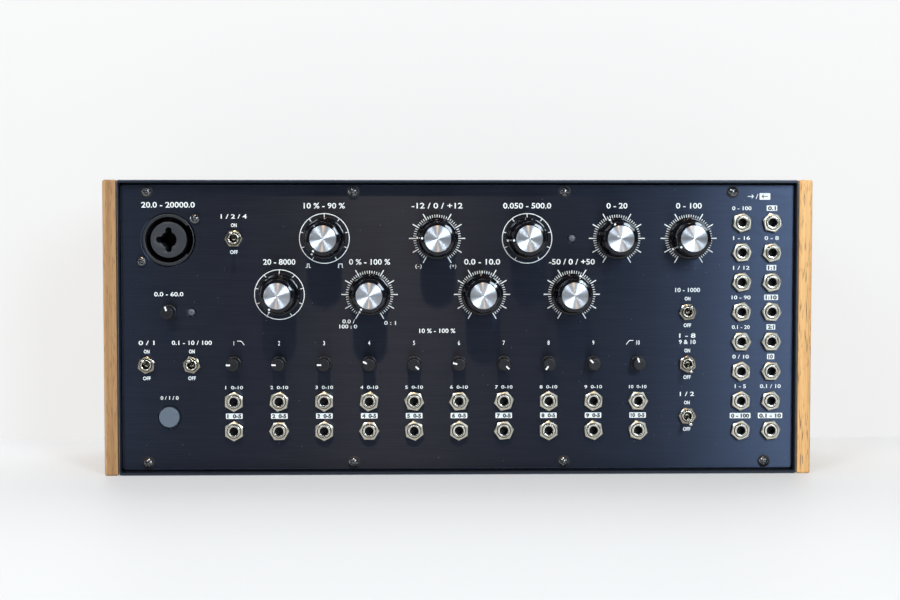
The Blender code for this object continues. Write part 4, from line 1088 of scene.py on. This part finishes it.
def hexagon(flats, chamfer_from):
    """Shape for turned: an outer wall becomes a hexagon of the given width across flats, and its
    corners slope down beyond the chamfer's circle."""
    sector = math.pi / 3

    def shape(angle, radius, height):
        edge = flats / 2 / np.cos(np.mod(angle, sector) - sector / 2)
        hexed = edge * radius / (flats / 2 / math.cos(sector / 2))
        radius = np.where(radius > 0.99 * flats / 2, hexed, radius)
        drop = np.clip(radius - chamfer_from, 0, None) * 0.55
        return radius, np.where(height > 0.6, height - drop, height + 0.6 * drop)

    return shape


def hex_nut(flats, top, bore, center, degrees):
    """(points, faces) of a chamfered nut: wall, chamfer, flat, and a rounded mouth to the bore."""
    corner, crown = flats / 2 / math.cos(math.pi / 6), NUT_CROWN * flats / 2
    profile = [(bore, 0.05), (0.94 * corner, 0.05), (corner, 0.12), (corner, top - 0.08),
               (0.985 * corner, top), (crown, top), (crown - 0.08, top), (bore + 0.28, top),
               (bore + 0.16, top - 0.12), (bore + 0.04, top - 0.45), (bore, top - 0.9)]
    return moved(turned(profile, 96, hexagon(flats, crown), closed=True), center, math.radians(degrees))


def jack_sleeve(center):
    """(points, faces) of a threaded sleeve: a wide flat end with eased edges, set back from the
    thread so that a dark gap shows between it and the nut."""
    end_r = SLEEVE_R - 0.12
    rows = [(BORE_R, -6.3), (SLEEVE_R, -6.3), (SLEEVE_R, 1.4), (end_r, 1.5)]
    rows += arc((end_r, SLEEVE_TOP - 0.15), (end_r - 0.15, SLEEVE_TOP), 0, 3)
    rows += [(LIP_R, SLEEVE_TOP - 0.01), (BORE_R + 0.12, SLEEVE_TOP - 0.06)]
    rows += arc((BORE_R + 0.12, SLEEVE_TOP - 0.06), (BORE_R, SLEEVE_TOP - 0.18), 1, 3)[1:]
    return turned(rows, 64, closed=True, center=center)


def jack_lining(center):
    """(points, faces) of the black liner of a jack's bore, closed by a floor."""
    return turned([(0.0, -6.2), (BORE_R - 0.01, -6.2), (BORE_R - 0.01, SLEEVE_TOP - 0.3),
                   (BORE_R - 0.1, SLEEVE_TOP - 0.35), (BORE_R - 0.12, -5.0), (0.0, -5.0)], 64,
                  center=center)


def thread_shadow(center):
    """(points, faces) of a black ring at the bottom of the gap between sleeve and nut: painted shade."""
    return turned([(SLEEVE_R - 0.14, 1.2), (SLEEVE_R + 0.04, 1.2), (SLEEVE_R + 0.1, NUT_TOP - 0.5),
                   (SLEEVE_R - 0.14, NUT_TOP - 0.5)], 64, closed=True, center=center)


def board_green():
    """Green solder mask with a faint net of buried copper."""
    made, tree, shader = new_material("circuit_board", IOR=1.5, Roughness=0.35)
    tracks = add(tree, "TexVoronoi", settings={"feature": "DISTANCE_TO_EDGE"},
                 Vector=object_place(tree), Scale=220.0).outputs["Distance"]
    feed(shader, Base_Color=blend(tree, spread(tree, tracks, start=0.02, end=0.08),
                                  (0.02, 0.12, 0.06), (0.01, 0.07, 0.035)))
    return made


NICKEL = nickel("warm_nickel", (0.62, 0.58, 0.48), 0.31)
BRIGHT_NICKEL = nickel("bright_nickel", (0.60, 0.58, 0.53), 0.20)
BOARD_GREEN = board_green()
for name, places, turns, margin in (("band_jack", BAND_JACKS, BAND_TURNS, 2.5),
                                    ("patch_jack", PATCH_JACKS, PATCH_TURNS, 1.25)):
    first, last = np.min(places, axis=0), np.max(places, axis=0)
    half = (last - first) / 2 + (JACK_HALF_U + margin, JACK_HALF_V + margin)
    piece(name + "_nuts", [hex_nut(NUT_AF, NUT_TOP, SLEEVE_R + 0.03, place, turn)
                           for place, turn in zip(places, turns)], NICKEL, "case",
          [name + "_board"], sharp=28.0)
    piece(name + "_sleeves", [jack_sleeve(place) for place in places], BRIGHT_NICKEL, "case",
          sharp=50.0)
    bodies = [slab(place, JACK_HALF_U, JACK_HALF_V, BOARD_W[1] + 0.02, PANEL_SEAT) for place in places]
    # The bore liners, and the black rings that paint the shade in each gap between sleeve and nut.
    linings_and_gap_shade = [jack_lining(place) for place in places] + [thread_shadow(place) for place in places]
    piece(name + "_bodies", bodies + linings_and_gap_shade, BORE_BLACK, "case")
    piece(name + "_circuit", [slab((first + last) / 2, *half, *BOARD_W, 0.8, 0.05)], BOARD_GREEN,
          "case")


# Toggle switches: a bright threaded bushing with a hexagonal nut, and a thin bat lever that
# leans 13 degrees to one side.
TOGGLE_AF, TOGGLE_NUT_TOP = 7.1, 2.1
BUSHING_R, BUSHING_TOP, BUSHING_BORE = 2.55, 3.0, 1.75
THREAD_PITCH, THREAD_DEPTH = 0.25, 0.08
LEVER_TILT, LEVER_BALL = 13.0, 1.3
TOGGLE_NICKEL = nickel("toggle_nickel", (0.34, 0.31, 0.25), 0.22)


def lever(place, tilt):
    """A ball in the bushing, a slim rod that thickens, and a rounded tip, leaned by an angle."""
    rows = [(LEVER_BALL * math.sin(t), -LEVER_BALL * math.cos(t)) for t in np.linspace(0, 2.6, 14)]
    rows += [(0.65, 1.4), (0.65, 4.0), (0.8, 8.0), (0.95, 11.2)]
    points, faces = turned(rows + arc((0.98, 11.4), (0.0, 12.5), 0, 8), 48)
    return np.stack([place[0] + points[:, 0],
                     place[1] + points[:, 1] * math.cos(tilt) + points[:, 2] * math.sin(tilt),
                     points[:, 2] * math.cos(tilt) - points[:, 1] * math.sin(tilt)], -1), faces


def toggle_bushing(center):
    """(points, faces) of a threaded bushing: a saw of grooves up its wall, and an eased end."""
    rows = [(BUSHING_BORE, -1.5), (BUSHING_R, -2.0)]
    for w in np.arange(0.3, BUSHING_TOP - 0.4, THREAD_PITCH):
        rows += [(BUSHING_R, w), (BUSHING_R - THREAD_DEPTH, w + THREAD_PITCH / 2)]
    rows += [(BUSHING_R - 0.15, BUSHING_TOP - 0.1), (BUSHING_R - 0.3, BUSHING_TOP),
             (BUSHING_BORE + 0.25, BUSHING_TOP), (BUSHING_BORE, BUSHING_TOP - 0.25)]
    return turned(rows, 64, closed=True, center=center)


for n, name in enumerate(LEVERS):
    place, switch = PLACES[name], name.removesuffix("_lever")
    rests_up = HINGES[name]["range_deg"][0] > -0.1
    tilt = math.radians(LEVER_TILT if rests_up else -LEVER_TILT)
    piece(name + "_bat", [lever(place, tilt)], BRIGHT_NICKEL, name, [name])
    piece(switch + "_nut", [hex_nut(TOGGLE_AF, TOGGLE_NUT_TOP, BUSHING_R + 0.03, place, 23 * n % 60)],
          TOGGLE_NICKEL, "case", [switch + "_body"], sharp=28.0)
    piece(switch + "_bushing", [toggle_bushing(place)], BRIGHT_NICKEL, "case", sharp=50.0)
    floor = [(0.0, -2.2), (BUSHING_BORE, -2.2), (BUSHING_BORE, -1.6), (0.0, -1.6)]
    piece(switch + "_case", [slab(place, 3.5, 4.5, -11.7, PANEL_SEAT), turned(floor, 48, center=place)],
          BORE_BLACK, "case")


# Trigger button: a flat grey-blue plastic cap with a softly rounded rim, sprung from behind and
# kept in by its flange.
BUTTON_R, BUTTON_TOP = 4.6, 2.0
BUTTON_GREY = plain_finish("button_grey", (0.100, 0.128, 0.168), grain=2200.0, bump=0.02,
                           roughness=0.45, vary=0.05, IOR=1.46)
button_profile = [(0.0, -6.8), (2.0, -6.8), (2.0, -3.3), (5.5, -3.3), (5.5, -2.3), (BUTTON_R, -2.3)]
button_profile += arc((BUTTON_R, BUTTON_TOP - 0.5), (BUTTON_R - 0.5, BUTTON_TOP), 0, 6)
button_profile += [(3.8, BUTTON_TOP - 0.03), (2.0, BUTTON_TOP - 0.1), (0.0, BUTTON_TOP - 0.12)]
piece("trigger_cap", [turned(button_profile, 128, center=BUTTON)], BUTTON_GREY, "trigger_button",
      ["trigger_button"])


# Indicator lamps: small clouded lenses that stand just proud of the panel, unlit.
LAMP_R, LAMP_FOOT, LAMP_TOP = 1.6, -11.7, 0.9
LAMP_GREY = plain_finish("lamp_lens", (0.070, 0.076, 0.096), grain=1400.0, bump=0.01, roughness=0.4,
                         vary=0.05, IOR=1.5)
lens_profile = [(0.0, LAMP_FOOT), (LAMP_R, LAMP_FOOT), (LAMP_R, 0.25)]
lens_profile += arc((LAMP_R, 0.25), (0.0, LAMP_TOP), 0, 8)[1:]
for n, place in enumerate(LAMPS, 1):
    piece(f"lamp_lens_{n}", [turned(lens_profile, 64, center=place)], LAMP_GREY, "case",
          [f"indicator_lamp_{n}"])


# Input socket: black moulded plastic, a ring that stands just proud of the panel, a deep groove
# that widens at the latch, and an insert with a 1/4 inch bore and three pin slots.
RING_OUT, GROOVE_R, FACE_R = 11.75, 10.25, 8.1
RING_TOP, FACE_TOP = 0.7, -0.4
LATCH, LATCH_DEPTH = math.radians(37.0), 0.9
SLOT_HALF, SLOT_CENTER = 1.37, 4.25
PLUG_BORE = 3.55
SOCKET_BLACK, INSERT_GREY = (
    plain_finish(name, colour, grain=1600.0, bump=0.04, roughness=roughness, vary=0.05, IOR=1.5)
    for name, colour, roughness in (("socket_black", (0.011, 0.0125, 0.016), 0.38),
                                    ("insert_grey", (0.021, 0.023, 0.029), 0.45)))


def apart(angle, axis):
    """How far a direction lies from an axis, as an angle up to half a turn."""
    return abs(np.mod(angle - axis + math.pi, 2 * math.pi) - math.pi)


def latched(angle, radius, height):
    """Widens the groove's wall over the latch, left and right of u."""
    wide = (apart(angle, 0.0) < LATCH) & (abs(radius - GROOVE_R) < 0.35) & (height > -6.0)
    return radius + LATCH_DEPTH * wide, height


def bore_outline():
    """The hole in the insert: at each direction the largest reach of the round bore and of the
    three slots. A slot's reach is its straight side, or its round end near its own axis."""
    angle = np.arange(360) * math.pi / 180
    reach = np.full(360, PLUG_BORE)
    for axis in (math.pi / 2, math.pi, 3 * math.pi / 2):
        off = apart(angle, axis)
        side = SLOT_HALF / np.maximum(np.sin(off), 1e-6)
        bulge = np.sqrt(np.clip(SLOT_HALF ** 2 - (SLOT_CENTER * np.sin(off)) ** 2, 0, None))
        slot = np.where(off < math.atan2(SLOT_HALF, SLOT_CENTER), SLOT_CENTER * np.cos(off) + bulge, side)
        slot = np.minimum(slot, SLOT_CENTER + SLOT_HALF)
        reach = np.where(off < math.pi / 2, np.maximum(reach, slot), reach)
    return np.stack([SOCKET[0] + reach * np.cos(angle), SOCKET[1] + reach * np.sin(angle)], -1)


ring_profile = [(0.0, -28.0), (RING_OUT, -28.0), (RING_OUT, RING_TOP - 0.45)]
ring_profile += arc((RING_OUT, RING_TOP - 0.45), (RING_OUT - 0.4, RING_TOP), 0, 4)[1:]
ring_profile += [(GROOVE_R + 0.3, RING_TOP)]
ring_profile += arc((GROOVE_R + 0.3, RING_TOP), (GROOVE_R, RING_TOP - 0.3), 1, 3)[1:]
ring_profile += [(GROOVE_R, -6.0), (GROOVE_R - 0.05, -26.0), (0.0, -26.0)]
flange = plate(rounded_rectangle(15.5, 13.0, 2.0) + SOCKET, [circle(SOCKET, RING_OUT - 0.1, 144)],
               PANEL_SEAT - 2.0, PANEL_SEAT, 0.3)
piece("combo_socket_ring", [turned(ring_profile, 240, latched, center=SOCKET), flange],
      SOCKET_BLACK, "case", ["combo_socket_shell"])
piece("combo_socket_face",
      [plate(circle(SOCKET, FACE_R, 180), [bore_outline()], -25.7, FACE_TOP, 0.25)],
      INSERT_GREY, "case", ["combo_socket_insert"])
piece("combo_socket_floor", [turned([(0.0, -24.4), (7.6, -24.4), (7.6, -24.0), (0.0, -24.0)], 64,
                                    center=SOCKET)], BORE_BLACK, "case")


# Main board: the green board with its potentiometers and the key switch. It is hidden behind
# the panel, so the model's own solid stays and only takes its finishes.
MAIN_BOARD_IN = 11.95


def main_board_finish():
    """Green over the board's own thickness, and dull zinc in front of it."""
    made, tree, shader = new_material("main_board", IOR=1.5, Roughness=0.4)
    coords = object_place(tree)
    depth = add(tree, "SeparateXYZ", coords).outputs[1]
    front = reckon(tree, "LESS_THAN", depth, (PANEL_Y + MAIN_BOARD_IN) * MM)
    zinc = blend(tree, noise(tree, coords, 300.0), (0.42, 0.42, 0.41), (0.55, 0.54, 0.52))
    feed(shader, Base_Color=blend(tree, front, (0.015, 0.10, 0.05), zinc), Metallic=front)
    return made


main_board = frame["nodes"]["main_board"]
main_board.data.materials.clear()
main_board.data.materials.append(main_board_finish())


# Top jacks: a 1/4 inch output jack and a barrel power jack that sit flush in round holes of the
# case's top wall, each with a black collar.
CASE_TOP = CASE_HIGH[2]
COLLAR_WALL = 0.6


def on_top(points):
    """World places of (x, y, height) in millimetres."""
    return np.asarray(points, float) * MM


def top_jack(name, neck, bore, depth, pin):
    """Makes a collar with a dished mouth and a blind bore, its block under the wall, and its
    pin, and gives back the tool that cuts its hole."""
    low, high = corners(name)
    center = (low + high)[:2] / 2
    half_x, half_y, _ = (high - low) / 2
    under, floor = CASE_TOP - CASE_WALL - 0.3, CASE_TOP - depth
    collar = [(0.0, floor), (bore, floor), (bore, CASE_TOP - 0.9), (bore + 0.5, CASE_TOP - 0.3),
              (neck - 0.25, CASE_TOP - 0.02), (neck, CASE_TOP - 0.2), (neck, under + 0.02),
              (neck - COLLAR_WALL, under + 0.02), (neck - COLLAR_WALL, floor - COLLAR_WALL),
              (0.0, floor - COLLAR_WALL)]
    walls = plate(rounded_rectangle(half_x, half_y, 0.6) + center, [circle(center, neck - 0.55)],
                  floor - 0.7, under, 0.1)
    piece(name + "_collar", [turned(collar, 96, center=center),
                             slab(center, half_x, half_y, low[2], floor - 0.7), walls],
          SOCKET_BLACK, "case", [name], place=on_top)
    if pin:
        rows = [(0.0, floor - 0.1), (pin, floor - 0.1), (pin, CASE_TOP - 2.2),
                (pin * 0.6, CASE_TOP - 1.9), (0.0, CASE_TOP - 1.9)]
        piece(name + "_pin", [turned(rows, 32, center=center)], BRIGHT_NICKEL, "case",
              place=on_top)
    return turned([(0.0, CASE_TOP - 4), (neck + 0.2, CASE_TOP - 4), (neck + 0.2, CASE_TOP + 2),
                   (0.0, CASE_TOP + 2)], 96, center=center)


cut(case_outer, [top_jack("output_jack", neck=5.6, bore=3.3, depth=25.0, pin=0.0),
                 top_jack("power_jack", neck=4.0, bore=2.9, depth=10.0, pin=1.05)], on_top)


# Feet: four turned rubber feet glued to the back, for use lying flat, with a dimple in each.
RUBBER = plain_finish("foot_rubber", (0.014, 0.014, 0.014), grain=2400.0, bump=0.05, roughness=0.75,
                      vary=0.06, IOR=1.5)
foot_profile = [(0.0, 0.0), (5.9, 0.0), (6.0, 0.3)] + arc((5.4, 2.4), (4.8, 3.0), 0, 5)
foot_profile += [(2.9, 3.0)] + arc((2.9, 3.0), (2.5, 2.6), 1, 3)[1:] + [(2.4, 1.6), (0.0, 1.6)]


def on_back(points):
    """World places of (x, z, w): w runs backwards from the case's back."""
    return np.stack([points[:, 0], CASE_HIGH[1] + points[:, 2], points[:, 1]], -1) * MM


for n in range(1, 5):
    low, high = corners(f"rubber_foot_{n}")
    piece(f"foot_{n}", [turned(foot_profile, 72, center=((low + high) / 2)[[0, 2]])], RUBBER, "case",
          [f"rubber_foot_{n}"], place=on_back)
